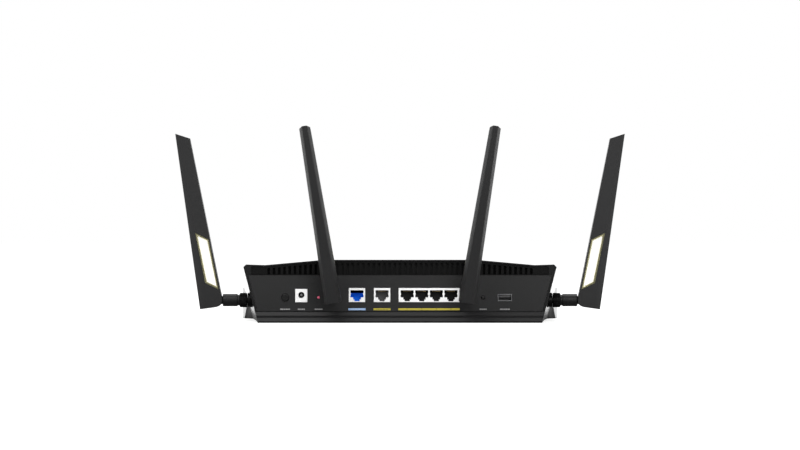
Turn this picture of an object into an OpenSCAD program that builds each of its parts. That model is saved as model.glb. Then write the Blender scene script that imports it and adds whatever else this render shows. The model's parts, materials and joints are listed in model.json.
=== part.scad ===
// Desktop wireless router with four swivelling antennas, millimetres.
// The socket panel faces -Y, the status lights face +Y, the feet stand on z = 0.

/* [Case] */
// Width across the upper rear corners
body_w = 300; // [290:1:330]
// Width at the foot of the rear face, where the side walls lean in
foot_w = 272; // [266:1:276]
// Depth from the rear panel to the front wall
body_d = 185; // [180:1:210]
// How far the side walls stand out beyond the rear corners
side_flare = 5.1; // [1:0.1:6]
// Height of the roof at the rear edge
rear_h = 60.7; // [58:0.1:66]
// Height of the roof at the front wall
front_h = 31; // [30.5:0.5:34]
// Width of the raised middle of the roof
plateau_w = 144; // [120:1:160]
// How far the roof falls from the raised middle to the valleys
valley_drop = 5.1; // [3:0.1:6]
// How far in from the side walls the valleys lie
valley_inset = 21; // [14:1:26]
// Height of the side walls' top corners below the raised middle
corner_drop = 7.0; // [6.5:0.1:9]
// Size of the chamfer along the roof's side edges
corner_cut = 2.5; // [1:0.1:4]
// Wall thickness of the plastic shells
wall = 2.4; // [2:0.1:2.8]
// Length of the cut-off front corners, along the sides
front_cut_d = 55; // [40:1:62]
// Width of the cut-off front corners, across the front
front_cut_w = 38; // [20:1:44]
// Height of the side walls' lower edge
side_z = 1.8; // [1.6:0.1:4]
// Clearance between shells that nest
shell_gap = 0.3; // [0.2:0.05:0.4]

/* [Side recesses] */
// Depth of the recesses for the side antennas, from the rear face
recess_d = 34; // [34:1:48]
// How far the recessed wall turns out towards the front, degrees
recess_spread = 5.2; // [0:0.1:6]
// Angle of the long facet that closes a recess, from the side wall
recess_angle = 12; // [10:1:30]
// Angle of the short facet under it, from the side wall
under_angle = 35; // [32:1:50]

/* [Rear lip and panel] */
// Height of the lip along the foot of the rear face
lip_h = 11; // [10:0.1:11.5]
// How far the lip's upper step stands out
lip_upper = 2.2; // [1:0.1:3]
// How far the lip's lower step stands out
lip_lower = 3.2; // [1.5:0.1:4.5]
// Top edge of the socket panel
panel_top = 45.8; // [44:0.1:46.5]
// Thickness of the socket panel
panel_t = 2; // [1.6:0.1:2.4]
// Clearance round each socket in the panel
cutout_gap = 0.2; // [0.15:0.05:0.3]

/* [Vents] */
// Spacing of the rear vent slots
vent_pitch = 5.03; // [4.5:0.01:6]
// Width of a rear vent slot
vent_slot_w = 2.5; // [1.6:0.1:2.6]
// Number of rear vent slots either side of the middle one
vent_side_count = 25; // [10:1:25]
// How far the vent band lies behind the rear face
vent_recess = 1.2; // [0.6:0.1:1.4]
// Solid height left between the vent slots and the top of the roof
vent_head = 3.3; // [3.2:0.1:5]
// Spacing of the slots in the roof
roof_slot_pitch = 8; // [7:0.5:10]
// Width of a slot in the roof
roof_slot_w = 2.6; // [2:0.1:3.5]
// Number of roof slots in each group
roof_slot_count = 13; // [6:1:13]
// Length of a slot in the roof, seen from above
roof_slot_l = 34; // [20:1:36]

/* [Feet and screws] */
// Height of the rubber feet under the case
foot_h = 0.3; // [0.3:0.1:1]
// Radius of a rubber foot
foot_r = 7; // [5:0.5:8]
// Distance between the left and right feet
feet_w = 206; // [180:2:220]
// Distance of the rear feet from the rear face
foot_rear = 26; // [20:1:40]
// Distance of the front feet from the front wall
foot_front = 38; // [30:1:50]
// Diameter of the case screws
screw_d = 3; // [2.5:0.1:3.2]
// Length of the case screws under the head
screw_l = 12; // [10:1:14]
// Diameter of the board screws
board_screw_d = 2.5; // [2:0.1:2.8]

/* [Circuit board] */
// Height of the board's top face
board_z = 19.4; // [18.8:0.1:19.6]
// Thickness of the board
board_t = 1.6; // [1.2:0.1:2]
// Width of the board
board_w = 236; // [232:1:240]
// Distance between the board's front edge and the outside of the front wall
board_front = 20; // [17:1:25]
// Thickness of the heat sink's base
sink_base = 2.5; // [2:0.1:3]
// Height of the heat sink's fins
fin_h = 8.5; // [4:0.5:9]
// Number of fins
fin_count = 23; // [10:1:30]
// Width of the heat sink
sink_w = 172; // [150:2:180]
// Depth of the heat sink
sink_d = 80; // [60:1:84]
// Height of the shield cans
can_h = 3.5; // [3:0.1:4]
// Thickness of a thermal pad
pad_t = 1; // [0.5:0.1:1.2]

/* [Network sockets] */
// Width of one socket's face
jack_w = 15.7; // [15.4:0.1:16]
// Height of a socket's face
jack_h = 13.4; // [13:0.1:14]
// Depth of the network sockets
jack_d = 21; // [19:0.5:24]
// Spacing of the ganged sockets
jack_pitch = 13.97; // [13.9:0.01:14.2]
// Number of ganged sockets
jack_count = 4; // [2:1:4]
// Place of the internet socket, across the rear
wan_x = -41.2; // [-44:0.1:-38]
// Place of the fast network socket
fast_x = -17.2; // [-19:0.1:-15]
// Place of the middle of the ganged sockets
gang_x = 27.8; // [26:0.1:28.2]
// Width of a plug's opening
plug_w = 12.5; // [12.1:0.1:12.7]
// Height of the widest part of a plug's opening
plug_h = 6.8; // [6.4:0.1:7.2]
// Depth of a plug's opening
plug_d = 14; // [12:0.5:15]

/* [Other sockets and buttons] */
// Place of the power button, across the rear
power_x = -110; // [-113:0.5:-108]
// Height of the three button centres
button_z = 24.5; // [23.5:0.1:25.5]
// Diameter of the power button
power_d = 7.3; // [6:0.1:9]
// How far the power button stands out
power_out = 1.6; // [1.2:0.1:2.5]
// Place of the power inlet
inlet_x = -94.5; // [-96:0.1:-93]
// Width of the power inlet's face
inlet_w = 11.6; // [11.4:0.1:13.5]
// Bore of the power inlet
inlet_bore = 5.9; // [5.5:0.1:6.5]
// Diameter of the power inlet's pin
inlet_pin = 2.5; // [1.6:0.1:2.5]
// Place of the reset button
reset_x = -78; // [-81:0.1:-77]
// Diameter of the reset button
reset_d = 2.4; // [2:0.1:3]
// Place of the sync button
sync_x = 79.6; // [78:0.1:82]
// Diameter of the sync button
sync_d = 3.6; // [3:0.1:4]
// Place of the USB socket
usb_x = 100.4; // [98:0.1:103]
// Width of the USB socket's shell
usb_w = 13.2; // [13:0.1:13.4]
// Height of the USB socket's shell
usb_h = 6.4; // [6:0.1:6.8]
// Diameter of the two front buttons
front_button_d = 6; // [5:0.1:7]
// Distance of the first front button from the middle
front_button_x = 62; // [50:1:66]
// Distance between the two front buttons
front_button_gap = 16; // [12:1:20]
// Number of status lights
light_count = 8; // [4:1:9]
// Spacing of the status lights
light_pitch = 9; // [7:0.5:10]

/* [Antennas] */
// Height of the side antennas' sockets
side_socket_z = 21.6; // [20:0.1:24]
// Distance of the side antennas' sockets from the rear face
side_socket_y = 20; // [18:0.5:24]
// Height of the rear antennas' sockets
rear_socket_z = 28.7; // [28:0.1:32]
// Distance of the rear antennas' sockets from the middle
rear_socket_x = 64.7; // [64:0.1:67]
// How far the rear antennas lean out to the sides, degrees
rear_spread = 9; // [0:0.5:15]
// How far each blade leans away from its socket, degrees
blade_lean = 8.1; // [0:0.1:12]
// Length of the blade's outer edge
blade_l = 170.7; // [160:0.1:200]
// Width of the blade at its foot
blade_foot_w = 22.5; // [21:0.1:26]
// Width of the blade at its tip
blade_tip_w = 13.2; // [12:0.1:16]
// Thickness of the blade at its foot
blade_foot_t = 16.2; // [15.6:0.1:18]
// Thickness of the blade at its tip
blade_tip_t = 10.3; // [9.6:0.1:12]
// Slope of the blade's tip, degrees
blade_tip_slope = 26; // [15:1:32]
// Width of the bevels beside the outer edge
bevel_w = 5.2; // [4:0.1:5.6]
// How far those bevels cut into the thickness
bevel_t = 2.9; // [2:0.1:3]
// Height of the window through the blade
window_l = 49; // [30:1:56]
// Width of the window's trim
window_w = 12; // [9:0.1:12.2]
// Width of the trim's rim
rim_w = 1.8; // [1.2:0.1:2.2]
// Slope of the window's ends, degrees
window_slope = 34.4; // [10:0.1:40]
// Radius of the swivel barrel
barrel_r = 6; // [5.7:0.05:6.2]
// Length of the swivel barrel
barrel_l = 14.2; // [12:0.1:16]
// Radius of the knurled nut
nut_r = 6.95; // [6.2:0.05:7]
// Length of the knurled nut
nut_l = 7.4; // [6:0.1:10]
// Radius of the socket's thread
thread_r = 3.1; // [2.9:0.05:3.2]
// Diameter of the hinge pin
pin_d = 3; // [2.5:0.1:3.2]
// Running clearance of pins and stems, on the radius
running_gap = 0.05; // [0.03:0.01:0.08]
// Clearance beside the knuckle's tongue
tongue_gap = 0.3; // [0.25:0.05:0.4]
// Thickness of the knuckle's tongue
tongue_t = 6; // [5:0.1:6.4]

/* [Hidden] */
far = 400;
half_w = body_w / 2;
foot_x = foot_w / 2;
corner_z = rear_h - corner_drop;
roof_fall = atan((rear_h - front_h) / body_d);
side_lean = atan((half_w - foot_x) / corner_z);
lip_seam = 0.5;
wide_w = half_w + side_flare;
front_cut_in = front_cut_w + side_flare;
front_cut_l = norm([front_cut_d, front_cut_in]);

// recesses for the side antennas
facet_y = recess_d
    + (wide_w - foot_x - recess_d * tan(recess_spread)) / tan(recess_angle);
wide_y = recess_d + side_flare / tan(recess_angle);
under_in = 1.9;
under_lean = 22;
under_h = 18;

// levels of the bottom case
base_z = foot_h;
floor_t = 2.4;
floor_z = base_z + floor_t;
pan_top = side_z - shell_gap;
pan_x = foot_x + side_z * tan(side_lean) + 3;
pan_slope = 3.2;
pan_front = body_d - 12;
pan_wall = 6;
pocket_x = foot_x - pan_wall;
pocket_y = 4;

// screws and the posts they go into
post_r = 3.6;
post_split = 9;
head_r = 2.9;
head_t = 2.2;
head_z = base_z + 0.3;
screw_hole = screw_d / 2 + 0.2;
screw_fit = 0.02;
post_side = 9;
post_rear = 12;
post_front = 20;
post_corner = 12;
posts = [
    [foot_x - post_side, post_rear],
    [half_w - front_cut_w - post_corner, body_d - post_front]
];

// feet
foot_sink = 0.8;
foot_ys = [foot_rear, body_d - foot_front];

// circuit board
board_y = panel_t + 1;
board_d = body_d - board_front;
board_under = board_z - board_t;
board_corner = [26, 37];
standoff_r = 3.2;
hole_side = 8;
hole_front = 7;
standoffs = [
    [board_w / 2 - hole_side, board_d * 0.27], [board_w / 2 - hole_side, board_d * 0.72],
    [board_w / 6, board_d - hole_front]
];
board_head_r = 2.4;
board_head_t = 1.6;
board_screw_l = 8;
board_hole = board_screw_d / 2 + 0.2;

// heat sink, cans and chips
can_w = 34;
can_d = 50;
can_t = 0.5;
can_xs = [-60, -20, 20, 60];
stack_y = board_d * 0.47;
chip_w = 18;
chip_t = 1.2;
sink_z = board_z + can_h + pad_t;
fin_t = 1.4;
plate_t = 2;
plate_w = sink_w - 20;
plate_d = sink_d - 8;
plate_z = board_under - pad_t - plate_t;

// network sockets
jack_z = board_z + 0.7;
jack_out = 0.3;
face_t = 1.2;
mid_h = 2.05;
mid_w = 7.4;
key_h = 1.7;
key_w = 4.9;
tab_out = 0.4;
tab_at = 2.6;
tab_h = 1.8;
plug_top = jack_z + jack_h - 2.1;
gang_w = jack_w + 0.65 + (jack_count - 1) * jack_pitch;
insert_gap = 0.05;
insert_step = 0.15;
shell_t = 1.1;
contact_pitch = 1.02;
contact_w = 0.45;
foot_pad = 0.7;

// power inlet, switches and buttons
inlet_h = 12.6;
inlet_z = board_z + 0.6;
inlet_axis = button_z + 2.3;
inlet_depth = 11;
switch_w = 8;
switch_h = 8;
switch_d = 12;
tact_w = 6;
tact_d = 5;
stem_r = 1.2;
button_gap = 0.3;
flange_extra = 1.1;
flange_t = 1.2;
reset_sunk = 0.4;
sync_out = 0.3;
front_out = 0.8;
switch_y = board_y + 4;
stem_in = 2;
front_stem_in = 1.5;
front_switch_gap = 1;
usb_z = button_z - 3.3;
usb_d = 16;
usb_t = 0.4;

// lights
guide_w = 3;
guide_h = 1.6;
guide_gap = 0.15;
guide_z = board_z + 0.5;
guide_out = 0.2;
light_l = 1.6;
light_back = 5;
guide_start = board_d - light_back + light_l + 0.3;
guide_bar = 2;

// antennas, measured out from the seat of each socket
flange_out = 4.9;
nut_at = flange_out + 0.5;
nut_end = nut_at + nut_l;
stem_end = nut_end + 1.9;
barrel_end = stem_end + barrel_l;
knuckle_r = 6.7;
pin_s = barrel_end + knuckle_r + 0.5;
tongue_r = 3.9;
stem_barrel_r = 5.2;
nut_pocket = 2;
nut_gap = 0.1;
flange_r = 6.9;
lock_r = 5;
lock_t = 2.6;
lock_room = 1;
tube_in = 12;
side_seat_x = foot_x + side_socket_z * tan(side_lean);
side_flat = 2;
side_boss_t = 5.5;
side_boss_r = 9;
side_tube_x = side_seat_x - side_flat - side_boss_t - tube_in + panel_t;
blade_out = blade_foot_w - 6.8;
blade_top = blade_l - knuckle_r;
blade_reach = pin_s + blade_out * cos(blade_lean) + blade_top * sin(blade_lean);
thick_slope = atan((blade_foot_t - blade_tip_t) / 2 / blade_l);
inner_slope = (blade_foot_w - blade_tip_w)
    / (blade_l - (blade_tip_w + 2) * tan(blade_tip_slope));
window_edge = 1.3;
window_z = 9.6;
trim_gap = 0.05;
trim_sunk = 0.15;

// the origin lies under the middle of the whole router with its antennas as modelled
origin_y = (body_d + front_out - blade_reach) / 2;

SIDES = [-1, 1];
ANTENNAS = ["left_side", "left_rear", "right_rear", "right_side"];
ANTENNA_PARTS = ["nut", "barrel", "hinge_pin", "blade", "window_trim", "radiator"];

// Height of the roof over a point of the rear edge
function roof_z(x) =
    abs(x) < plateau_w / 2 ? rear_h
    : rear_h - valley_drop * min(1, (abs(x) - plateau_w / 2)
        / (half_w - valley_inset - plateau_w / 2));

// Puts the case coordinates, measured from the rear face, into the router's frame
module framed() {
    translate([0, -origin_y, 0]) children();
}

module both_sides() {
    children();
    mirror([1, 0, 0]) children();
}

// Everything under the roof, lowered by t
module under_roof(t) {
    beyond = side_flare + wall;
    right = [
        [plateau_w / 2, rear_h],
        [half_w - valley_inset, rear_h - valley_drop],
        [half_w - corner_cut, corner_z + corner_cut],
        [half_w + beyond, corner_z - beyond]
    ];
    last = len(right) - 1;
    outline = concat(
        [for (p = right) [p.x, (p.y - t) * cos(roof_fall)]],
        [[half_w + beyond, -far / 2], [-half_w - beyond, -far / 2]],
        [for (i = [last:-1:0]) [-right[i].x, (right[i].y - t) * cos(roof_fall)]]
    );
    rotate([90 - roof_fall, 0, 0])
        linear_extrude(height = 2 * far, center = true) polygon(outline);
}

// The case seen from above, moved in by t
module plan(t) {
    side_y = body_d - front_cut_d - t * (front_cut_l - front_cut_d) / front_cut_in;
    front_x = half_w - front_cut_w - t * (front_cut_l - front_cut_in) / front_cut_d;
    polygon([
        [-half_w + t, t], [half_w - t, t], [wide_w - t, wide_y], [wide_w - t, side_y],
        [front_x, body_d - t], [-front_x, body_d - t], [-wide_w + t, side_y],
        [-wide_w + t, wide_y]
    ]);
}

// All that lies outside the leaning right side wall, with the wall moved in by t
module beyond_side(t) {
    translate([foot_x - t / cos(side_lean), 0, 0])
        rotate([0, 0, -recess_spread]) rotate([0, side_lean, 0])
            translate([0, -far, -far / 2]) cube([far, 2 * far, far]);
}

// The recess behind the right side wall, grown by t into the case
module side_recess(t) {
    intersection() {
        beyond_side(t);
        union() {
            translate([wide_w, facet_y, -far / 2]) rotate([0, 0, -recess_angle])
                translate([-t, -far / 2, 0]) cube([far, far, far]);
            translate([wide_w - under_in, facet_y - under_in / tan(recess_angle), side_z])
                rotate([0, 0, -under_angle]) rotate([0, under_lean, 0])
                    translate([-t, -far / 2, -far / 2])
                        cube([far, far, far / 2 + under_h + t]);
        }
    }
}

// The case's outer form with every wall moved in by t
module case_form(t, low) {
    difference() {
        intersection() {
            under_roof(t);
            translate([0, 0, low]) linear_extrude(height = rear_h + far) plan(t);
        }
        both_sides() side_recess(t);
    }
}

module top_cover() {
    boss_x = side_seat_x - side_flat - side_boss_t;
    color("#232326") framed() difference() {
        union() {
            difference() {
                case_form(0, side_z);
                case_form(wall, side_z - 1);
                rear_window();
            }
            both_sides() intersection() {
                union() {
                    for (p = posts)
                        translate([p.x, p.y, post_split + shell_gap])
                            cylinder(h = rear_h, r = post_r, $fn = 32);
                    translate([boss_x, side_socket_y, side_socket_z]) rotate([0, 90, 0])
                        cylinder(h = side_boss_t + side_flat, r = side_boss_r, $fn = 48);
                }
                case_form(wall / 2, side_z);
            }
        }
        both_sides() {
            for (p = posts)
                translate([p.x, p.y, 0])
                    cylinder(h = post_split + screw_l, r = screw_d / 2 + screw_fit, $fn = 32);
            translate([side_seat_x - side_flat, side_socket_y, side_socket_z])
                rotate([0, 90, 0]) cylinder(h = wall * 6, r = flange_r + 0.6, $fn = 48);
            translate([boss_x - 1, side_socket_y, side_socket_z]) rotate([0, 90, 0])
                cylinder(h = side_boss_t + 2, r = thread_r + 0.15, $fn = 32);
            roof_slots();
        }
        vent_band();
        front_openings();
    }
}

// The opening in the cover's rear wall that the socket panel and the lip close
module rear_window() {
    difference() {
        translate([-far / 2, -1, -1])
            cube([far, wall + 1.1, panel_top + shell_gap + 1]);
        both_sides() beyond_side(wall);
    }
}

module vent_band() {
    band_x = half_w - 7.4;
    sill = panel_top + shell_gap;
    intersection() {
        translate([-band_x, -1, sill - 0.1]) cube([2 * band_x, 1 + vent_recess, rear_h]);
        under_roof(vent_head / 2);
    }
    for (i = [-vent_side_count:vent_side_count]) {
        x = i * vent_pitch;
        translate([x - vent_slot_w / 2, -1, sill + 0.5])
            cube([vent_slot_w, wall + 2, roof_z(x) - vent_head - sill - 0.5]);
    }
}

// A row of slanting slots in the right shoulder of the roof
module roof_slots() {
    mid_x = (plateau_w / 2 + half_w - valley_inset) / 2;
    start_y = wall + roof_slot_l / 2 + 8;
    for (i = [0:roof_slot_count - 1])
        translate([mid_x, start_y + i * roof_slot_pitch, front_h * 0.75])
            rotate([0, 0, 35])
                translate([-roof_slot_l / 2, -roof_slot_w / 2, 0])
                    cube([roof_slot_l, roof_slot_w, rear_h]);
}

module front_openings() {
    for (i = [0:light_count - 1])
        translate([light_x(i) - guide_w / 2 - guide_gap, body_d - 2 * wall,
            guide_z - guide_gap])
            cube([guide_w + 2 * guide_gap, 4 * wall, guide_h + 2 * guide_gap]);
    for (x = front_button_xs)
        translate([x, body_d - 2 * wall, front_button_z]) rotate([-90, 0, 0])
            cylinder(h = 4 * wall, r = front_button_d / 2 + button_gap, $fn = 48);
}

function light_x(i) = (i - (light_count - 1) / 2) * light_pitch;
front_button_z = board_z + 3;
front_button_xs = [front_button_x, front_button_x + front_button_gap];

module bottom_case() {
    color("#1b1b1e") framed() difference() {
        union() {
            difference() {
                union() {
                    pan();
                    difference() {
                        translate([0, 0, side_z]) linear_extrude(height = floor_t)
                            plan(wall + shell_gap);
                        both_sides() side_recess(wall + shell_gap);
                    }
                    rear_lip();
                }
                translate([-pocket_x, pocket_y, floor_z])
                    cube([2 * pocket_x, pan_front - pocket_y - pan_wall, rear_h]);
            }
            both_sides() {
                for (p = posts)
                    translate([p.x, p.y, base_z])
                        cylinder(h = post_split - base_z, r = post_r + 1, $fn = 32);
                for (p = standoffs)
                    translate([p.x, p.y, base_z])
                        cylinder(h = board_under - base_z, r = standoff_r, $fn = 32);
            }
        }
        both_sides() {
            for (p = posts) translate([p.x, p.y, 0]) {
                cylinder(h = far, r = screw_hole, $fn = 32);
                translate([0, 0, -1])
                    cylinder(h = head_z + head_t + 1, r = head_r + shell_gap, $fn = 32);
            }
            for (p = standoffs)
                translate([p.x, p.y, board_under - board_screw_l])
                    cylinder(h = far, r = board_screw_d / 2 + screw_fit, $fn = 32);
            for (y = foot_ys)
                translate([feet_w / 2, y, 0])
                    cylinder(h = base_z + foot_sink, r = foot_r + 0.1, $fn = 64);
        }
        floor_slots();
    }
}

// The shallow pan under the case, whose sides slope in towards the feet
module pan() {
    difference() {
        intersection() {
            rotate([90, 0, 0]) linear_extrude(height = 2 * far, center = true) polygon([
                [-pan_x + pan_slope, base_z], [pan_x - pan_slope, base_z],
                [pan_x, pan_top], [pan_x, side_z + 0.1], [-pan_x, side_z + 0.1],
                [-pan_x, pan_top]
            ]);
            rotate([90, 0, 90]) linear_extrude(height = 2 * far, center = true) polygon([
                [0, base_z], [pan_front - pan_slope, base_z], [pan_front, pan_top],
                [pan_front, side_z + 0.1], [0, side_z + 0.1]
            ]);
            linear_extrude(height = far) plan(-0.1);
        }
        both_sides() side_recess(shell_gap);
        both_sides() intersection() {
            side_recess(wall + shell_gap);
            translate([0, 0, pan_top]) cube(far);
        }
        both_sides() front_corner();
    }
}

// Keeps the pan clear of the cover's cut-off front corner
module front_corner() {
    difference() {
        translate([0, body_d / 2, -1]) cube(far);
        linear_extrude(height = far, center = true) plan(wall + pan_slope);
    }
}

// Two-step lip along the foot of the rear face, between the side walls
module rear_lip() {
    difference() {
        rotate([90, 0, 90]) linear_extrude(height = 2 * far, center = true) polygon([
            [panel_t * 2 + 1, base_z], [-lip_lower / 2, base_z],
            [-lip_lower, base_z + 1.4], [-lip_upper + 0.4, lip_h * 0.45],
            [-lip_upper / 2, lip_h * 0.5], [-lip_upper / 2, lip_h * 0.59],
            [-lip_upper, lip_h * 0.64], [-0.5, lip_h - lip_seam],
            [panel_t * 0.6, lip_h - lip_seam], [panel_t * 0.6, lip_h], [panel_t, lip_h],
            [panel_t * 2 + 1, lip_h - panel_t]
        ]);
        both_sides() beyond_side(0.05);
        both_sides() intersection() {
            beyond_side(wall + shell_gap);
            translate([0, -shell_gap, pan_top]) cube(far);
        }
    }
}

module floor_slots() {
    rows = 14;
    slot_l = 60;
    for (s = SIDES, i = [0:rows - 1])
        translate([s * (slot_l / 2 + 5) - slot_l / 2, foot_ys[0] + 10 + i * 7, base_z - 1])
            cube([slot_l, 2.5, floor_t + 2]);
}

module rear_panel() {
    color("#303032") framed() difference() {
        translate([-far / 2, 0, lip_h + shell_gap])
            cube([far, panel_t, panel_top - lip_h - shell_gap]);
        both_sides() beyond_side(wall + shell_gap / 2);
        for (x = [wan_x, fast_x])
            panel_cutout(x, jack_w, jack_h, jack_z);
        panel_cutout(gang_x, gang_w, jack_h, jack_z);
        panel_cutout(inlet_x, inlet_w, inlet_h, inlet_z);
        panel_cutout(usb_x, usb_w, usb_h, usb_z);
        panel_hole(power_x, power_d / 2 + button_gap, button_z);
        panel_hole(reset_x, reset_d / 2 + button_gap, button_z);
        panel_hole(sync_x, sync_d / 2 + button_gap, button_z);
        for (s = SIDES) panel_hole(s * rear_socket_x, thread_r + 0.15, rear_socket_z);
    }
}

module panel_cutout(x, w, h, z) {
    translate([x - w / 2 - cutout_gap, -1, z - cutout_gap])
        cube([w + 2 * cutout_gap, panel_t + 2, h + 2 * cutout_gap]);
}

module panel_hole(x, r, z) {
    translate([x, -1, z]) rotate([-90, 0, 0]) cylinder(h = panel_t + 2, r = r, $fn = 48);
}

module rubber_feet() {
    color("#101010") framed() both_sides() for (y = foot_ys)
        translate([feet_w / 2, y, 0])
            cylinder(h = base_z + foot_sink, r = foot_r, $fn = 64);
}

module screw(d, l, hr, ht) {
    cylinder(h = l, r = d / 2, $fn = 32);
    translate([0, 0, -ht]) difference() {
        cylinder(h = ht, r = hr, $fn = 32);
        translate([0, 0, -1]) cylinder(h = ht * 0.5 + 1, r = hr * 0.45, $fn = 6);
    }
}

module case_screws() {
    color("#3a3a3c") framed() both_sides() for (p = posts)
        translate([p.x, p.y, head_z + head_t]) screw(screw_d, screw_l, head_r, head_t);
}

module main_board() {
    x = board_w / 2;
    color("#1d5a34") framed() difference() {
        translate([0, 0, board_under]) linear_extrude(height = board_t) polygon([
            [-x, board_y], [x, board_y], [x, board_d - board_corner.y],
            [x - board_corner.x, board_d], [-x + board_corner.x, board_d],
            [-x, board_d - board_corner.y]
        ]);
        both_sides() {
            for (p = standoffs)
                translate([p.x, p.y, 0]) cylinder(h = far, r = board_hole, $fn = 32);
            // room for the side sockets, which only a wider board would reach
            translate([side_tube_x - lock_room, side_socket_y - lock_r - lock_room, 0])
                cube([far, 2 * (lock_r + lock_room), far]);
        }
    }
}

module board_screws() {
    color("#b8b8bc") framed() both_sides() for (p = standoffs)
        translate([p.x, p.y, board_z]) mirror([0, 0, 1])
            screw(board_screw_d, board_screw_l, board_head_r, board_head_t);
}

module heat_sink() {
    step = (sink_w - fin_t) / (fin_count - 1);
    color("#9a9ca0") framed() translate([-sink_w / 2, stack_y - sink_d / 2, sink_z]) {
        cube([sink_w, sink_d, sink_base]);
        for (i = [0:fin_count - 1])
            translate([i * step, 0, sink_base - 0.1]) cube([fin_t, sink_d, fin_h + 0.1]);
    }
}

module heat_plate() {
    color("#a8aaae") framed() translate([-plate_w / 2, stack_y - plate_d / 2, plate_z])
        cube([plate_w, plate_d, plate_t]);
}

module thermal_pads() {
    color("#7f93a8") framed() for (x = can_xs) {
        pad_w = can_w - 6;
        translate([x - pad_w / 2, stack_y - can_d / 2 + 3, board_z + can_h])
            cube([pad_w, can_d - 6, pad_t]);
        translate([x - pad_w / 2, stack_y - can_d / 2 + 3, board_under - pad_t])
            cube([pad_w, can_d - 6, pad_t]);
    }
}

module shield_cans() {
    color("#c3c5c8") framed() for (x = can_xs)
        translate([x - can_w / 2, stack_y - can_d / 2, board_z]) difference() {
            cube([can_w, can_d, can_h]);
            translate([can_t, can_t, -1])
                cube([can_w - 2 * can_t, can_d - 2 * can_t, can_h - can_t + 1]);
        }
}

module chips() {
    color("#141416") framed() for (x = can_xs, s = SIDES)
        translate([x - chip_w / 2, stack_y + s * can_d / 4 - chip_w / 2, board_z])
            cube([chip_w, chip_w, chip_t]);
}

// A plug's opening, its stepped latch side down, from the face inwards,
// with a tab that stands out on either side
module plug_opening(w, h, depth, tab = 0) {
    side = [
        [w / 2, tab_at], [w / 2 - tab, tab_at + tab / 2],
        [w / 2 - tab, tab_at + tab_h - tab / 2], [w / 2, tab_at + tab_h]
    ];
    translate([0, -1, plug_top]) rotate([-90, 0, 0]) linear_extrude(height = depth + 1)
        polygon(concat([[-w / 2, 0], [w / 2, 0]], tab > 0 ? side : [], [
            [w / 2, h], [mid_w / 2, h], [mid_w / 2, h + mid_h],
            [key_w / 2, h + mid_h], [key_w / 2, h + mid_h + key_h],
            [-key_w / 2, h + mid_h + key_h], [-key_w / 2, h + mid_h],
            [-mid_w / 2, h + mid_h], [-mid_w / 2, h], [-w / 2, h]
        ], tab > 0 ? [for (i = [3:-1:0]) [-side[i].x, side[i].y]] : []));
}

// White housing of one or more network sockets
module jack_shell(x, w, ports) {
    color("#e8e8e6") framed() translate([x, -jack_out, 0]) difference() {
        union() {
            translate([-w / 2, 0, jack_z]) cube([w, jack_d, jack_h]);
            for (s = SIDES)
                translate([s * (w - shell_t) / 2 - shell_t / 2, jack_d / 2, board_z])
                    cube([shell_t, 4, jack_z - board_z + 0.1]);
        }
        translate([-w / 2 + shell_t, face_t, jack_z - 1])
            cube([w - 2 * shell_t, jack_d, jack_h - shell_t + 1]);
        for (p = ports) translate([p, 0, 0]) plug_opening(plug_w, plug_h, face_t + 1, tab_out);
    }
}

// Moulded insert behind a housing's face, one opening for each plug
module jack_insert(x, w, ports, shade) {
    low = board_z + foot_pad - insert_gap;
    top = jack_z + jack_h - shell_t - insert_gap;
    inner_w = w - 2 * shell_t - 2 * insert_gap;
    color(shade) framed() translate([x, face_t - jack_out + insert_gap, 0]) difference() {
        union() {
            translate([-inner_w / 2, 0, low])
                cube([inner_w, jack_d - face_t - insert_gap, top - low]);
            for (s = SIDES)
                translate([s * (inner_w / 2 - 3) - 1, jack_d / 3, board_z])
                    cube([2, 2, foot_pad + 0.1]);
        }
        for (p = ports) translate([p, 0, 0]) {
            plug_opening(plug_w - 2 * insert_step, plug_h, plug_d);
            translate([-comb_w / 2, -1, plug_top - 0.1])
                cube([comb_w, plug_d + 1, contact_room]);
        }
    }
}

comb_w = 7 * contact_pitch + contact_w + 0.4;
contact_room = 0.7;
gang_ports = [for (i = [0:jack_count - 1]) (i - (jack_count - 1) / 2) * jack_pitch];

module wan_jack_shell() { jack_shell(wan_x, jack_w, [0]); }
module wan_jack_insert() { jack_insert(wan_x, jack_w, [0], "#1f5fd0"); }
module fast_jack_shell() { jack_shell(fast_x, jack_w, [0]); }
module fast_jack_insert() { jack_insert(fast_x, jack_w, [0], "#6b6b6d"); }
module lan_jack_shell() { jack_shell(gang_x, gang_w, gang_ports); }
module lan_jack_insert() { jack_insert(gang_x, gang_w, gang_ports, "#161618"); }

// Eight sprung contacts in the roof of each network socket
module jack_contacts() {
    slope = 11;
    length = plug_d - 5;
    back = face_t - jack_out + plug_d;
    ports = concat([wan_x, fast_x], [for (p = gang_ports) gang_x + p]);
    color("#c9a24a") framed() for (x = ports, i = [0:7])
        translate([x + (i - 3.5) * contact_pitch - contact_w / 2, back, plug_top + 0.15])
            rotate([slope, 0, 0]) translate([0, -length, 0])
                cube([contact_w, length, 0.35]);
}

// The white power socket: a square face round a bore with a pin in it
module power_inlet() {
    color("#e9e9e7") framed() translate([inlet_x, -jack_out, 0]) difference() {
        union() {
            translate([-inlet_w / 2, 0, inlet_z]) cube([inlet_w, inlet_depth + 3, inlet_h]);
            translate([-inlet_w / 2 + 1, inlet_depth / 2, board_z])
                cube([inlet_w - 2, 4, inlet_z - board_z + 0.1]);
        }
        translate([0, -1, inlet_axis]) rotate([-90, 0, 0])
            cylinder(h = inlet_depth + 1, r = inlet_bore / 2, $fn = 64);
        translate([0, 0, inlet_axis]) rotate([-90, 0, 0])
            cylinder(h = inlet_depth + 2, r = inlet_pin / 2 + screw_fit, $fn = 48);
    }
}

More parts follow.
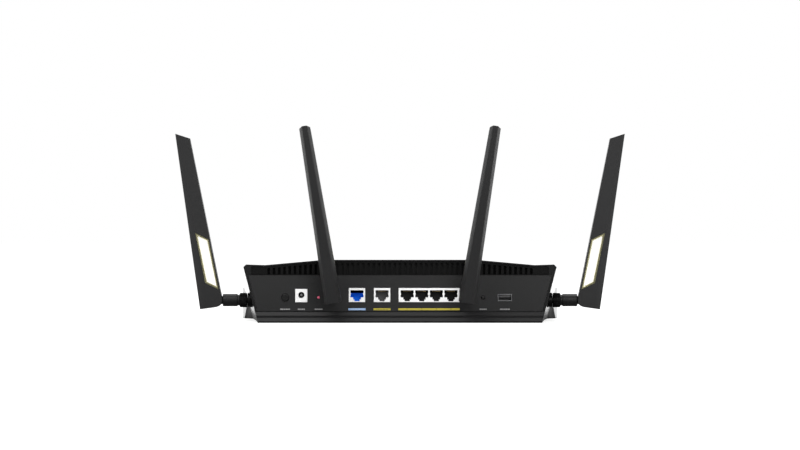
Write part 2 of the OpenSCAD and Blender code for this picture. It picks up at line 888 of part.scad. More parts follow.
module power_inlet_pin() {
    color("#c8c8ca") framed() translate([inlet_x, 1.5 - jack_out, inlet_axis])
        rotate([-90, 0, 0]) cylinder(h = inlet_depth, r = inlet_pin / 2, $fn = 48);
}

module usb_shell() {
    color("#8d8f92") framed() translate([usb_x, -jack_out, 0]) difference() {
        union() {
            translate([-usb_w / 2, 0, usb_z]) cube([usb_w, usb_d, usb_h]);
            for (s = SIDES)
                translate([s * (usb_w / 2 - usb_t) - usb_t / 2, usb_d / 2, board_z])
                    cube([usb_t, 3, usb_z - board_z + 0.1]);
        }
        translate([-usb_w / 2 + usb_t, -1, usb_z + usb_t])
            cube([usb_w - 2 * usb_t, usb_d + 1 - usb_t, usb_h - 2 * usb_t]);
    }
}

// Tongue of the USB socket, on the block that closes its back
module usb_tongue() {
    w = usb_w - 2 * usb_t - 0.2;
    h = usb_h - 2 * usb_t - 0.2;
    z = usb_z + usb_t + 0.1;
    color("#1c3f8f") framed() translate([usb_x, -jack_out, 0]) {
        translate([-w / 2, usb_d - 4, z]) cube([w, 4 - usb_t - 0.05, h]);
        translate([-w / 2 + 0.8, 1.5, z + h - 2.4]) cube([w - 1.6, usb_d - 5, 1.8]);
    }
}

// Housing that a push button's stem runs in
module switch_block(x, y, w, d, h, axis_z) {
    translate([x - w / 2, y, board_z]) difference() {
        cube([w, d, h]);
        translate([w / 2, -1, axis_z - board_z]) rotate([-90, 0, 0])
            cylinder(h = d, r = stem_r + 0.2, $fn = 32);
    }
}

module power_switch() {
    color("#2b2b2d") framed()
        switch_block(power_x, switch_y, switch_w, switch_d, switch_h, button_z);
}

// Small switches behind the reset and sync buttons and the two front buttons
module tact_switches() {
    front_block_y = board_d - tact_d - front_switch_gap;
    h = tact_w + 2;
    color("#3c3c3e") framed() {
        for (x = [reset_x, sync_x])
            switch_block(x, switch_y, tact_w, tact_d, h, button_z);
        for (x = front_button_xs) translate([0, 2 * front_block_y + tact_d, 0])
            mirror([0, 1, 0])
                switch_block(x, front_block_y, tact_w, tact_d, h - 2, front_button_z);
    }
}

// A push button along +Y: cap, the flange that keeps it in, and its stem
module push_button(d, out, cap_in, stem_to) {
    rotate([-90, 0, 0]) {
        translate([0, 0, -out]) cylinder(h = out + cap_in, r = d / 2, $fn = 64);
        translate([0, 0, panel_t + button_gap])
            cylinder(h = flange_t, r = d / 2 + flange_extra, $fn = 64);
        cylinder(h = stem_to, r = stem_r, $fn = 32);
    }
}

module rear_button(x, d, out) {
    stem_to = switch_y + stem_in;
    framed() translate([x, 0, button_z])
        push_button(d, out, panel_t + button_gap + flange_t / 2, stem_to);
}

module power_button() { color("#0c0c0d") rear_button(power_x, power_d, power_out); }
module reset_button() { color("#d8242c") rear_button(reset_x, reset_d, -reset_sunk); }
module sync_button() { color("#0c0c0d") rear_button(sync_x, sync_d, sync_out); }

// Front buttons point the other way and sit in the front wall
module front_button(x) {
    wall_in = body_d - wall;
    stem_from = board_d - front_switch_gap - front_stem_in;
    framed() translate([x, 0, front_button_z]) rotate([-90, 0, 0]) {
        translate([0, 0, wall_in - button_gap - flange_t])
            cylinder(h = flange_t, r = front_button_d / 2 + flange_extra, $fn = 64);
        translate([0, 0, wall_in - button_gap - flange_t])
            cylinder(h = wall + button_gap + flange_t + front_out,
                r = front_button_d / 2, $fn = 64);
        translate([0, 0, stem_from])
            cylinder(h = wall_in - stem_from, r = stem_r, $fn = 32);
    }
}

module wifi_button() { color("#151517") front_button(front_button_xs[0]); }
module light_button() { color("#151517") front_button(front_button_xs[1]); }

module status_lights() {
    color("#f0f2e8") framed() for (i = [0:light_count - 1])
        translate([light_x(i) - light_l / 2, board_d - light_back, board_z])
            cube([light_l, light_l, light_l]);
}

// Clear prongs from the status lights to the front wall, joined by one bar
module light_guide() {
    bar_w = (light_count - 1) * light_pitch + guide_w;
    color([0.85, 0.9, 0.95, 0.6]) framed() {
        for (i = [0:light_count - 1])
            translate([light_x(i) - guide_w / 2, guide_start, guide_z])
                cube([guide_w, body_d + guide_out - guide_start, guide_h]);
        translate([-bar_w / 2, (guide_start + body_d - wall) / 2, guide_z])
            cube([bar_w, guide_bar, guide_h]);
    }
}

// Where an antenna's socket is seated: place, turn about Z, lean about its own axis
// and the depth of the wall behind the seat
function seat_of(a) =
    a == "left_side" ? [[-side_seat_x, side_socket_y, side_socket_z], 180, 0]
    : a == "right_side" ? [[side_seat_x, side_socket_y, side_socket_z], 0, 0]
    : a == "left_rear" ? [[-rear_socket_x, 0, rear_socket_z], -90, rear_spread]
    : [[rear_socket_x, 0, rear_socket_z], -90, -rear_spread];

function seat_depth(a) = seat_of(a)[1] == -90 ? 0 : side_flat;
function wall_depth(a) = seat_of(a)[1] == -90 ? panel_t : side_flat + side_boss_t;

// Local +X runs out of the case along the socket, local +Z up
module at_seat(a) {
    seat = seat_of(a);
    framed() translate(seat[0]) rotate([0, 0, seat[1]]) children();
}

module at_barrel(a) { at_seat(a) rotate([seat_of(a)[2], 0, 0]) children(); }

// The blade's own frame: pin at the origin, outer edge upright
module at_blade(a) {
    at_barrel(a) translate([pin_s, 0, 0]) rotate([0, blade_lean, 0]) children();
}

module along_x(from, to, r, sides = 48) {
    translate([from, 0, 0]) rotate([0, 90, 0]) cylinder(h = to - from, r = r, $fn = sides);
}

module antenna_sockets() {
    color("#b58f3a") for (a = ANTENNAS) at_seat(a) difference() {
        union() {
            along_x(-seat_depth(a), flange_out, flange_r);
            along_x(-wall_depth(a) - tube_in + panel_t, nut_end - nut_pocket - 0.4, thread_r);
        }
        along_x(flange_out, nut_end, thread_r - 0.9);
    }
}

module socket_lock_nuts() {
    color("#c0a050") for (a = ANTENNAS) at_seat(a) difference() {
        translate([-wall_depth(a) - lock_t, 0, 0]) rotate([0, 90, 0])
            cylinder(h = lock_t, r = lock_r, $fn = 6);
        along_x(-wall_depth(a) - lock_t - 1, 0, thread_r + screw_fit);
    }
}

// Short leads from the sockets down to the board, bent a quarter turn
module pigtail_cables() {
    lead_r = 0.9;
    bend = 4;
    out = 6;
    color("#3a3a3a") for (a = ANTENNAS) at_seat(a) {
        end_x = -wall_depth(a) - tube_in + panel_t;
        drop = seat_of(a)[0].z - board_z;
        turn = min(bend, drop - 0.2);
        along_x(end_x - out, end_x, lead_r, 24);
        translate([end_x - out, 0, -turn]) rotate([90, 0, 180])
            rotate_extrude(angle = 90, $fn = 48) translate([turn, 0]) circle(r = lead_r, $fn = 24);
        translate([end_x - out - turn, 0, -drop])
            cylinder(h = drop - turn, r = lead_r, $fn = 24);
    }
}

// Knurled nut that holds the antenna on its socket
module coupling_nut() {
    teeth = 36;
    knurl_l = nut_l - 2;
    outline = [for (i = [0:4 * teeth - 1])
        let (r = nut_r - (i % 4 < 2 ? 0 : 0.4), turn = i * 90 / teeth)
        [r * cos(turn), r * sin(turn)]];
    color("#18181a") difference() {
        union() {
            along_x(nut_at, nut_end, nut_r - 0.6);
            translate([nut_at + 0.7, 0, 0]) rotate([0, 90, 0])
                linear_extrude(height = knurl_l) polygon(outline);
        }
        along_x(nut_at - 1, nut_end + 1, thread_r + nut_gap);
        along_x(nut_end - nut_pocket, nut_end + 1, stem_barrel_r + 2 * nut_gap);
    }
}

// Barrel that turns in the nut and carries the hinge's tongue
module swivel_barrel() {
    chamfer = 0.5;
    color("#1c1c1f") difference() {
        union() {
            along_x(nut_end - nut_pocket + 0.3, stem_end + 1, stem_barrel_r);
            translate([stem_end, 0, 0]) rotate([0, 90, 0])
                rotate_extrude($fn = 64) polygon([
                    [0, 0], [barrel_r - chamfer, 0], [barrel_r, chamfer],
                    [barrel_r, barrel_l - chamfer], [barrel_r - chamfer, barrel_l],
                    [0, barrel_l]
                ]);
            translate([barrel_end - 1, -tongue_t / 2, -tongue_r])
                cube([pin_s - barrel_end + 1, tongue_t, 2 * tongue_r]);
            translate([pin_s, tongue_t / 2, 0]) rotate([90, 0, 0])
                cylinder(h = tongue_t, r = tongue_r, $fn = 64);
        }
        translate([pin_s, tongue_t, 0]) rotate([90, 0, 0])
            cylinder(h = 2 * tongue_t, r = pin_d / 2 + running_gap, $fn = 48);
    }
}

pin_l = blade_foot_t - 5;

module hinge_pin() {
    color("#b9babd") rotate([90, 0, 0])
        cylinder(h = pin_l, r = pin_d / 2, center = true, $fn = 48);
}

function inner_x(z) = -knuckle_r + inner_slope * z;

// The blade's outline seen from its broad side
module blade_outline() {
    tip_x = inner_x(blade_top - blade_tip_w * tan(blade_tip_slope));
    union() {
        polygon([
            [0, -knuckle_r], [blade_out, -knuckle_r], [blade_out, blade_top],
            [tip_x, blade_top - (blade_out - tip_x) * tan(blade_tip_slope)],
            [inner_x(0), 0], [0, 0]
        ]);
        circle(r = knuckle_r, $fn = 96);
    }
}

// A wedge that gives the blade its thickness, tapering towards the tip
module thickness_wedge(extra) {
    foot = blade_foot_t / 2 + extra;
    tip = blade_tip_t / 2 + extra;
    top = blade_l - knuckle_r;
    rotate([90, 0, 90]) linear_extrude(height = far, center = true) polygon([
        [-foot, -knuckle_r], [foot, -knuckle_r], [tip, top], [-tip, top]
    ]);
}

// Cuts one of the bevels beside the outer edge
module edge_bevel() {
    translate([blade_out, blade_foot_t / 2 - bevel_t, -knuckle_r])
        rotate([thick_slope, 0, 0]) rotate([0, 0, -atan(bevel_t / bevel_w)])
            translate([-3 * bevel_w, 0, -far / 4]) cube([6 * bevel_w, far, far]);
}

// The window's outline, drawn in by t
module window_outline(t) {
    side_x = inner_x(window_z) + window_edge;
    lean = inner_slope * window_l;
    rise = window_w * tan(window_slope);
    skew = t / cos(window_slope);
    x0 = side_x + t;
    x1 = side_x + window_w - t;
    low = window_z + skew + t * tan(window_slope);
    high = window_z + window_l - skew + t * tan(window_slope);
    across = rise - 2 * t * tan(window_slope);
    polygon([
        [x0, low], [x1, low + across], [x1 + lean, high + across], [x0 + lean, high]
    ]);
}

module blade() {
    slot = tongue_t + 2 * tongue_gap;
    color("#202023") difference() {
        intersection() {
            rotate([90, 0, 0]) linear_extrude(height = far, center = true) blade_outline();
            thickness_wedge(0);
        }
        edge_bevel();
        mirror([0, 1, 0]) edge_bevel();
        rotate([90, 0, 0]) linear_extrude(height = far, center = true)
            window_outline(-trim_gap);
        translate([-far, -slot / 2, -far])
            cube([far + tongue_r + 0.6, slot, far + knuckle_r - 1]);
        rotate([90, 0, 0])
            cylinder(h = pin_l + 0.1, r = pin_d / 2 + screw_fit, center = true, $fn = 48);
        translate([tongue_r, -lead_room / 2, 1])
            cube([channel_x + channel_w - tongue_r, lead_room, lead_room]);
        translate([channel_x, -lead_room / 2, 1])
            cube([channel_w, lead_room, strip_z + 2]);
        rotate([90, 0, 0]) linear_extrude(height = 4, center = true) polygon([
            [inner_x(strip_z) + blade_wall, strip_z], [blade_out - blade_wall, strip_z],
            [blade_out - blade_wall, blade_top - tip_solid],
            [inner_x(blade_top) + blade_wall,
                blade_top - tip_solid - blade_tip_w * tan(blade_tip_slope)]
        ]);
    }
}

lead_room = 2.4;
blade_wall = 3.2;
tip_solid = 12;
strip_z = window_z + window_l + window_w * tan(window_slope) + 4;
channel_x = inner_x(window_z) + window_edge + window_w + inner_slope * window_l + 1.2;
channel_w = blade_out - channel_x - 2.4;

module window_trim() {
    color("#b8a24e") intersection() {
        rotate([90, 0, 0]) linear_extrude(height = far, center = true) difference() {
            window_outline(0);
            window_outline(rim_w);
        }
        thickness_wedge(-trim_sunk);
    }
}

// The strip inside the blade that sends and receives, with its lead
module radiator() {
    strip_w = 6.5;
    strip_top = blade_top - tip_solid - blade_tip_w;
    color("#8a6a2c") {
        translate([blade_out - blade_wall - 0.3 - strip_w, -0.4, strip_z + 0.3])
            cube([strip_w, 0.8, strip_top - strip_z]);
        translate([channel_x + 0.9, 0, 1.6]) cylinder(h = strip_z, r = 0.7, $fn = 24);
    }
}

bottom_case();
top_cover();
rear_panel();
rubber_feet();
case_screws();
main_board();
board_screws();
heat_sink();
heat_plate();
thermal_pads();
shield_cans();
chips();
wan_jack_shell();
wan_jack_insert();
fast_jack_shell();
fast_jack_insert();
lan_jack_shell();
lan_jack_insert();
jack_contacts();
power_inlet();
power_inlet_pin();
usb_shell();
usb_tongue();
power_switch();
tact_switches();
status_lights();
light_guide();
antenna_sockets();
socket_lock_nuts();
pigtail_cables();
power_button();
reset_button();
sync_button();
wifi_button();
light_button();

for (a = ANTENNAS) {
    at_seat(a) coupling_nut();
    at_barrel(a) swivel_barrel();
    at_blade(a) hinge_pin();
    at_blade(a) blade();
    at_blade(a) window_trim();
    at_blade(a) radiator();
}
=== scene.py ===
"""Looks of a desktop wireless router with four swivelling antennas."""

import json
import math

import bmesh
import bpy
import numpy as np
from bpy.props import FloatProperty, FloatVectorProperty, IntProperty, PointerProperty
from mathutils import Matrix, Vector
from mathutils.bvhtree import BVHTree


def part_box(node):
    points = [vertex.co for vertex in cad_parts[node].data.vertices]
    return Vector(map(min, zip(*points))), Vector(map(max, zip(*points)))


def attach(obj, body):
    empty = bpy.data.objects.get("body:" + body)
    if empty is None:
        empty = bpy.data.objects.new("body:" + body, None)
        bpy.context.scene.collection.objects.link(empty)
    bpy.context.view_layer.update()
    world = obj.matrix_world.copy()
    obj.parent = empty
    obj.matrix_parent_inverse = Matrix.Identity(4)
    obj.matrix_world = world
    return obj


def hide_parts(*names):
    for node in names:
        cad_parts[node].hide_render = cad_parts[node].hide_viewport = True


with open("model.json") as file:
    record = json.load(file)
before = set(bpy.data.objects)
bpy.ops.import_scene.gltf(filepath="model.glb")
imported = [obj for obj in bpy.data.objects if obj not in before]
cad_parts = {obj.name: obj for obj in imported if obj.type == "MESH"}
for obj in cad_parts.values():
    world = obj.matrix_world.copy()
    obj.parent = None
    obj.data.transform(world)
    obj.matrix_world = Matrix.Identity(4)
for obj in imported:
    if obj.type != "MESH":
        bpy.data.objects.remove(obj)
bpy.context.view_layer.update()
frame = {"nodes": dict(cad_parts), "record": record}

bl_info = {
    "name": "Wireless router",
    "version": (1, 0, 0),
    "blender": (4, 5, 0),
    "location": "3D View > Sidebar > Router",
    "description": "Builds the pieces, finishes and studio of a desktop router",
    "category": "Object",
}

MM = 0.001
ANTENNAS = ("left_side", "left_rear", "right_rear", "right_side")
SOCKET_KINDS = ("wan", "fast", "lan")

# Size of the grain on small mouldings, and the depths of a faint and of a deep grain
SMALL_GRAIN = 0.0009
SHALLOW = 0.00001
DEEP = 0.00004

# Shell edges shorter than this, or flatter than this many degrees, stay as they are
SHORTEST_EDGE = 12 * MM
SHELL_ANGLE = 25.0


# Sizes and colours that a user would change


class RouterSizes(bpy.types.PropertyGroup):
    """Sizes of the router's finished edges, prints and small parts."""

    shell_edge: FloatProperty(
        name="Shell edge radius",
        description="Rounding of the edges of the case's plastic shells",
        default=0.0007, min=0.0001, max=0.0015, unit="LENGTH",
    )
    blade_edge: FloatProperty(
        name="Blade edge radius",
        description="Rounding of the antenna blades' edges",
        default=0.0006, min=0.0001, max=0.0012, unit="LENGTH",
    )
    fine_edge: FloatProperty(
        name="Fine edge radius",
        description="Rounding of sockets, buttons and the parts on the board",
        default=0.00025, min=0.00005, max=0.0005, unit="LENGTH",
    )
    trim_flare: FloatProperty(
        name="Trim flare",
        description="Size of the slope that leads into each antenna's window",
        default=0.0009, min=0.0002, max=0.0016, unit="LENGTH",
    )
    print_height: FloatProperty(
        name="Print height",
        description="Height of the printed bars under the sockets",
        default=0.0019, min=0.001, max=0.003, unit="LENGTH",
    )
    print_thickness: FloatProperty(
        name="Print thickness",
        description="Thickness of the ink on the socket panel",
        default=0.00006, min=0.00002, max=0.0002, unit="LENGTH",
    )
    knurl_count: IntProperty(
        name="Knurl ridges",
        description="Number of ridges round each coupling nut",
        default=36, min=12, max=60,
    )
    grain: FloatProperty(
        name="Plastic grain",
        description="Size of the moulded texture on the black plastic",
        default=0.0005, min=0.0002, max=0.002, unit="LENGTH",
    )


def colour_property(name, description, default):
    return FloatVectorProperty(
        name=name, description=description, default=default, size=3, min=0, max=1,
        subtype="COLOR",
    )


class RouterColours(bpy.types.PropertyGroup):
    """Colours of the router's main finishes."""

    cover: colour_property("Cover", "Colour of the top cover", (0.009, 0.009, 0.0095))
    base: colour_property("Base", "Colour of the bottom case", (0.010, 0.010, 0.0105))
    panel: colour_property("Panel", "Colour of the socket panel", (0.0066, 0.0066, 0.0068))
    # The vent colour is darkened as painted shade: the vent band lies in the shade of the roof's
    # lip
    vent: colour_property("Vent", "Colour inside the vents", (0.0018, 0.0018, 0.0018))
    blade: colour_property("Blade", "Colour of the antenna blades", (0.0135, 0.0135, 0.0138))
    # The trim colour is a gold, brightened to a pale cream as painted reflection on the window's
    # walls
    trim: colour_property("Trim", "Colour of the windows' trim", (0.62, 0.59, 0.42))
    # The rim colour is a darker olive copy of the trim's gold, as painted shade on the faces across
    # the window
    rim: colour_property("Trim rim", "Colour of the trim's outer rim", (0.11, 0.105, 0.06))
    bar_blue: colour_property("Blue bar", "Print of the internet socket", (0.30, 0.45, 0.72))
    bar_yellow: colour_property("Yellow bar", "Print of the network sockets", (0.45, 0.375, 0.045))
    ink: colour_property("Ink", "Print of the small marks", (0.26, 0.26, 0.26))


# Node trees


class Wire:
    """A node's output that takes part in sums."""

    def __init__(self, sheet, socket):
        self.sheet = sheet
        self.socket = socket

    def sum(self, operation, other, flipped=False):
        pair = (other, self) if flipped else (self, other)
        return self.sheet.node(
            "ShaderNodeMath", {"operation": operation}, dict(enumerate(pair))
        )

    def __add__(self, other):
        return self.sum("ADD", other)

    def __sub__(self, other):
        return self.sum("SUBTRACT", other)

    def __mul__(self, other):
        return self.sum("MULTIPLY", other)

    def __gt__(self, other):
        return self.sum("GREATER_THAN", other)

    def __rsub__(self, other):
        return self.sum("SUBTRACT", other, flipped=True)

    __radd__ = __add__


class Sheet:
    """A node tree that nodes are added to by type, settings and values."""

    def __init__(self, tree):
        self.tree = tree

    def node(self, kind, settings=None, values=None, output=0):
        made = self.tree.nodes.new(kind)
        for key, value in (settings or {}).items():
            if key == "stops":
                ramp = made.color_ramp
                while len(ramp.elements) < len(value):
                    ramp.elements.new(1.0)
                for element, (place, colour) in zip(ramp.elements, value):
                    element.position = place
                    element.color = (*colour, 1.0)
            else:
                setattr(made, key, value)
        for key, value in (values or {}).items():
            if isinstance(value, Wire):
                self.tree.links.new(value.socket, made.inputs[key])
            else:
                made.inputs[key].default_value = value
        return Wire(self, made.outputs[output]) if made.outputs else made

    def mix(self, factor, low, high):
        """One colour turning into another."""
        ends = [c if isinstance(c, Wire) else (*c, 1.0) for c in (low, high)]
        return self.node(
            "ShaderNodeMix", {"data_type": "RGBA"},
            {0: factor, 6: ends[0], 7: ends[1]}, 2,
        )

    def spots(self, place, size, detail=2.0):
        """Soft random spots of that size, from 0 to 1."""
        return self.node(
            "ShaderNodeTexNoise", None,
            {"Vector": place, "Scale": 1 / size, "Detail": detail}, "Fac",
        )

    def stretched(self, place, scale):
        return self.node("ShaderNodeMapping", None, {"Vector": place, "Scale": scale})


def shaded(colour, factor):
    return tuple(min(1.0, c * factor) for c in colour)


def finish(name, build):
    """A material whose Principled shader gets what build says for its sockets."""
    known = bpy.data.materials.get(name)
    if known:
        return known
    material = bpy.data.materials.new(name)
    material.use_nodes = True
    material.node_tree.nodes.clear()
    sheet = Sheet(material.node_tree)
    place = sheet.node("ShaderNodeTexCoord", output="Object")
    shader = sheet.node("ShaderNodeBsdfPrincipled", None, build(sheet, place))
    sheet.node("ShaderNodeOutputMaterial", None, {"Surface": shader})
    return material


def moulded(
    name, colour, roughness, grain=0.0005, depth=0.00003, gloss=0.5, coat=0.0, glow=0.0
):
    """Moulded plastic: fine grain, faint flow marks and uneven sheen.

    Glow is the share of its colour that it gives off as painted light, though there is no lamp
    inside.
    """

    def build(sheet, place):
        fine = sheet.spots(place, grain, 3.0)
        cells = sheet.node(
            "ShaderNodeTexVoronoi", {"feature": "SMOOTH_F1"},
            {"Vector": place, "Scale": 1 / (grain * 1.6)}, "Distance",
        )
        flow = sheet.spots(place, 0.045)
        height = fine * 0.6 + cells * 0.8
        tone = flow * 0.6 + fine * 0.4
        tint = sheet.mix(tone, shaded(colour, 0.8), shaded(colour, 1.2))
        return {
            "Base Color": tint,
            # Emission set by glow is painted light
            "Emission Color": tint,
            "Emission Strength": glow,
            "Roughness": roughness - 0.06 + flow * 0.08 + fine * 0.04,
            "Specular IOR Level": gloss,
            "Coat Weight": coat,
            "Coat Roughness": 0.12,
            "Normal": sheet.node(
                "ShaderNodeBump", None,
                {"Strength": 0.35, "Distance": depth, "Height": height},
            ),
        }

    return finish(name, build)


def plated(name, colour, roughness, stretch=(1.0, 1.0, 1.0), tarnish=0.25):
    """Metal with fine drawn lines and a patchy sheen."""

    def build(sheet, place):
        lines = sheet.spots(sheet.stretched(place, stretch), 0.0012, 4.0)
        patches = sheet.spots(place, 0.012)
        tone = lines * 0.5 + patches * 0.5
        return {
            "Base Color": sheet.mix(tone, shaded(colour, 1 - tarnish), shaded(colour, 1.15)),
            "Metallic": 1.0,
            "Roughness": roughness - 0.05 + lines * 0.06 + patches * 0.06,
            "Normal": sheet.node(
                "ShaderNodeBump", None,
                {"Strength": 0.2, "Distance": SHALLOW, "Height": lines},
            ),
        }

    return finish(name, build)


def inked(name, colour):
    """Screen-printed ink with a faint mesh texture."""

    def build(sheet, place):
        speck = sheet.spots(place, 0.0003, 3.0)
        return {
            "Base Color": sheet.mix(speck, shaded(colour, 0.88), shaded(colour, 1.08)),
            "Roughness": 0.42 + speck * 0.12,
            "Specular IOR Level": 0.2,
            "Normal": sheet.node(
                "ShaderNodeBump", None,
                {"Strength": 0.2, "Distance": SHALLOW, "Height": speck},
            ),
        }

    return finish(name, build)


def laminate(name, colour, track):
    """Lacquered circuit board: tracks under the solder mask."""

    def build(sheet, place):
        tracks = sheet.node(
            "ShaderNodeTexVoronoi", {"distance": "MANHATTAN"},
            {"Vector": place, "Scale": 160.0, "Randomness": 0.55}, "Distance",
        )
        line = tracks * 6.0
        step = sheet.node("ShaderNodeMath", {"operation": "FRACT"}, {0: line}) > 0.72
        weave = sheet.spots(place, 0.0006)
        return {
            "Base Color": sheet.mix(step, colour, track),
            "Roughness": 0.32 + weave * 0.1,
            "Coat Weight": 0.4,
            "Coat Roughness": 0.2,
            "Normal": sheet.node(
                "ShaderNodeBump", None,
                {"Strength": 0.4, "Distance": 0.00003, "Height": step},
            ),
        }

    return finish(name, build)


def frosted(name, tint):
    """Frosted acrylic with faint flow lines."""

    def build(sheet, place):
        flow = sheet.spots(sheet.stretched(place, (1.0, 0.15, 1.0)), 0.002)
        return {
            "Base Color": sheet.mix(flow, shaded(tint, 0.95), tint),
            "Roughness": 0.35 + flow * 0.1,
            "Transmission Weight": 0.35,
            "IOR": 1.49,
        }

    return finish(name, build)


def colours():
    return bpy.context.scene.router_colours


def sizes():
    return bpy.context.scene.router_sizes


def finish_of(slot):
    """The finish that stands for one of the record's material slots."""
    tints, grain = colours(), sizes().grain
    return {
        "case_plastic": lambda: moulded("base plastic", tints.base, 0.44, grain, gloss=0.18),
        "cover_plastic": lambda: moulded("cover plastic", tints.cover, 0.30, grain, gloss=0.35),
        "panel_plastic": lambda: moulded(
            "panel plastic", tints.panel, 0.50, grain, DEEP, 0.26
        ),
        "foot_rubber": lambda: moulded("foot rubber", (0.012, 0.012, 0.012), 0.75, 0.0008),
        "screw_steel": lambda: plated("screw steel", (0.20, 0.20, 0.21), 0.40),
        "board_laminate": lambda: laminate("board", (0.01, 0.10, 0.04), (0.03, 0.19, 0.08)),
        "sink_aluminium": lambda: plated("aluminium", (0.62, 0.63, 0.65), 0.42, (1, 0.05, 1)),
        "pad_silicone": lambda: moulded("thermal pad", (0.22, 0.30, 0.40), 0.60, SMALL_GRAIN),
        "can_steel": lambda: plated("tinned steel", (0.66, 0.66, 0.68), 0.30, (0.1, 1, 1)),
        "chip_epoxy": lambda: moulded("chip epoxy", (0.018, 0.018, 0.018), 0.55, 0.0004),
        "socket_white": lambda: moulded(
            "socket white", (0.90, 0.90, 0.89), 0.34, SMALL_GRAIN, SHALLOW
        ),
        # The blue insert's glow is painted light that lifts its inside out of the socket's shade
        "socket_blue": lambda: moulded(
            "socket blue", (0.0005, 0.21, 0.84), 0.40, SMALL_GRAIN, SHALLOW, 0.12, glow=0.08
        ),
        "socket_grey": lambda: moulded(
            "socket grey", (0.066, 0.066, 0.067), 0.42, SMALL_GRAIN, SHALLOW
        ),
        "socket_black": lambda: moulded(
            "socket black", (0.0014, 0.0014, 0.0014), 0.45, SMALL_GRAIN, SHALLOW, 0.2
        ),
        "contact_gold": lambda: plated("contact gold", (0.50, 0.36, 0.16), 0.30),
        "metal_plate": lambda: plated("nickel plate", (0.20, 0.20, 0.205), 0.36),
        "tongue_plastic": lambda: moulded("tongue plastic", (0.05, 0.05, 0.051), 0.45),
        "switch_plastic": lambda: moulded("switch plastic", (0.03, 0.03, 0.03), 0.50),
        "button_black": lambda: moulded("button black", (0.0015, 0.0015, 0.0015), 0.26, gloss=0.25),
        "button_red": lambda: moulded("button red", (0.80, 0.13, 0.22), 0.26, coat=0.5),
        "light_white": lambda: moulded("light lens", (0.80, 0.82, 0.76), 0.20, 0.0006),
        "guide_clear": lambda: frosted("frosted acrylic", (0.52, 0.55, 0.56)),
        "brass_plate": lambda: plated("black plated brass", (0.008, 0.008, 0.008), 0.34),
        "cable_sheath": lambda: moulded("cable sheath", (0.02, 0.02, 0.02), 0.45, SMALL_GRAIN),
        "nut_plastic": lambda: moulded(
            "nut plastic", (0.0012, 0.0012, 0.0012), 0.40, 0.0006, gloss=0.08
        ),
        "barrel_plastic": lambda: moulded(
            "barrel plastic", (0.006, 0.006, 0.0062), 0.42, grain, gloss=0.16
        ),
        "pin_steel": lambda: plated("ground steel", (0.58, 0.58, 0.60), 0.25),
        "blade_plastic": lambda: moulded(
            "blade plastic", tints.blade, 0.52, grain, DEEP, 0.16
        ),
        "trim_gold": lambda: plated("trim gold", tints.trim, 0.34, (1, 1, 0.15), 0.15),
        "radiator_laminate": lambda: laminate("radiator", (0.30, 0.17, 0.04), (0.62, 0.36, 0.16)),
    }[slot]()


# Meshes and pieces

SLOT_OF = {s["node"]: s["material_slot"] for s in frame["record"]["subparts"]}
BODY_OF = {
    node: body
    for body, members in frame["record"]["behaviour"]["bodies"].items()
    for node in members
}


def linked(name, mesh):
    made = bpy.data.objects.new(name, mesh)
    bpy.context.scene.collection.objects.link(made)
    return made


def applied(thing):
    """The mesh that thing's modifiers make; thing itself is removed."""
    graph = bpy.context.evaluated_depsgraph_get()
    mesh = bpy.data.meshes.new_from_object(thing.evaluated_get(graph))
    bpy.data.objects.remove(thing)
    return mesh


def piece(name, mesh, body, material, stands_for=()):
    """Makes a mesh a piece of the router that moves with a body."""
    mesh.name = name
    if material:
        mesh.materials.clear()
        mesh.materials.append(material)
    made = linked(name, mesh)
    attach(made, body)
    if stands_for:
        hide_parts(*stands_for)
    return made


def whole(node, flat=True):
    """A joined copy of a CAD node's mesh, with each flat face in one where flat."""
    form = bmesh.new()
    form.from_mesh(frame["nodes"][node].data)
    bmesh.ops.remove_doubles(form, verts=form.verts, dist=2e-6)
    if flat:
        bmesh.ops.dissolve_limit(
            form, angle_limit=math.radians(0.5), verts=form.verts, edges=form.edges
        )
    return form


def mark_outer(form):
    """Weighs the long sharp edges that nothing stands in front of, for rounding."""
    form.normal_update()
    layer = form.edges.layers.float.new("bevel_weight_edge")
    tree = BVHTree.FromBMesh(form)
    lift, sight = 0.2 * MM, 50 * MM
    for edge in form.edges:
        if edge.calc_length() < SHORTEST_EDGE or len(edge.link_faces) != 2:
            continue
        if edge.calc_face_angle_signed(0) < math.radians(SHELL_ANGLE):
            continue
        out = (edge.link_faces[0].normal + edge.link_faces[1].normal).normalized()
        start = (edge.verts[0].co + edge.verts[1].co) / 2 + out * lift
        if tree.ray_cast(start, out, sight)[0] is None:
            edge[layer] = 1.0


def rounded(form, radius, segments=2, angle=30.0, marked=False):
    """The form as a mesh with its sharp edges rounded, or only its marked ones."""
    mesh = bpy.data.meshes.new("form")
    form.to_mesh(mesh)
    form.free()
    for loose in [a.name for a in mesh.attributes if a.name in ("custom_normal", "sharp_face")]:
        mesh.attributes.remove(mesh.attributes[loose])
    thing = linked("form", mesh)
    bevel = thing.modifiers.new("Edges", "BEVEL")
    bevel.width = radius
    bevel.segments = segments
    bevel.limit_method = "WEIGHT" if marked else "ANGLE"
    bevel.angle_limit = math.radians(angle)
    bevel.use_clamp_overlap = True
    bevel.miter_outer = "MITER_ARC"
    done = applied(thing)
    done.shade_smooth()
    done.set_sharp_from_angle(angle=math.radians(40))
    weighted = linked("weighted", done)
    even = weighted.modifiers.new("Even", "WEIGHTED_NORMAL")
    even.keep_sharp = True
    even.weight = 100
    return applied(weighted)


def stand_in(node, mesh):
    """Makes a mesh the finished piece of a CAD node."""
    slot = SLOT_OF[node]
    return piece(node + "_piece", mesh, BODY_OF[node], finish_of(slot), [node])


def finished(node, radius, segments=2):
    """Stands a rounded, finished piece in for a CAD node."""
    return stand_in(node, rounded(whole(node), radius, segments))


def shell(node, radius):
    """Stands a piece in for a shell, with only its long outer edges rounded."""
    form = whole(node, flat=False)
    mark_outer(form)
    return stand_in(node, rounded(form, radius, marked=True))


def dressed(node):
    """Gives a CAD node its finish and leaves its shape."""
    for entry in frame["nodes"][node].material_slots:
        entry.material = finish_of(SLOT_OF[node])


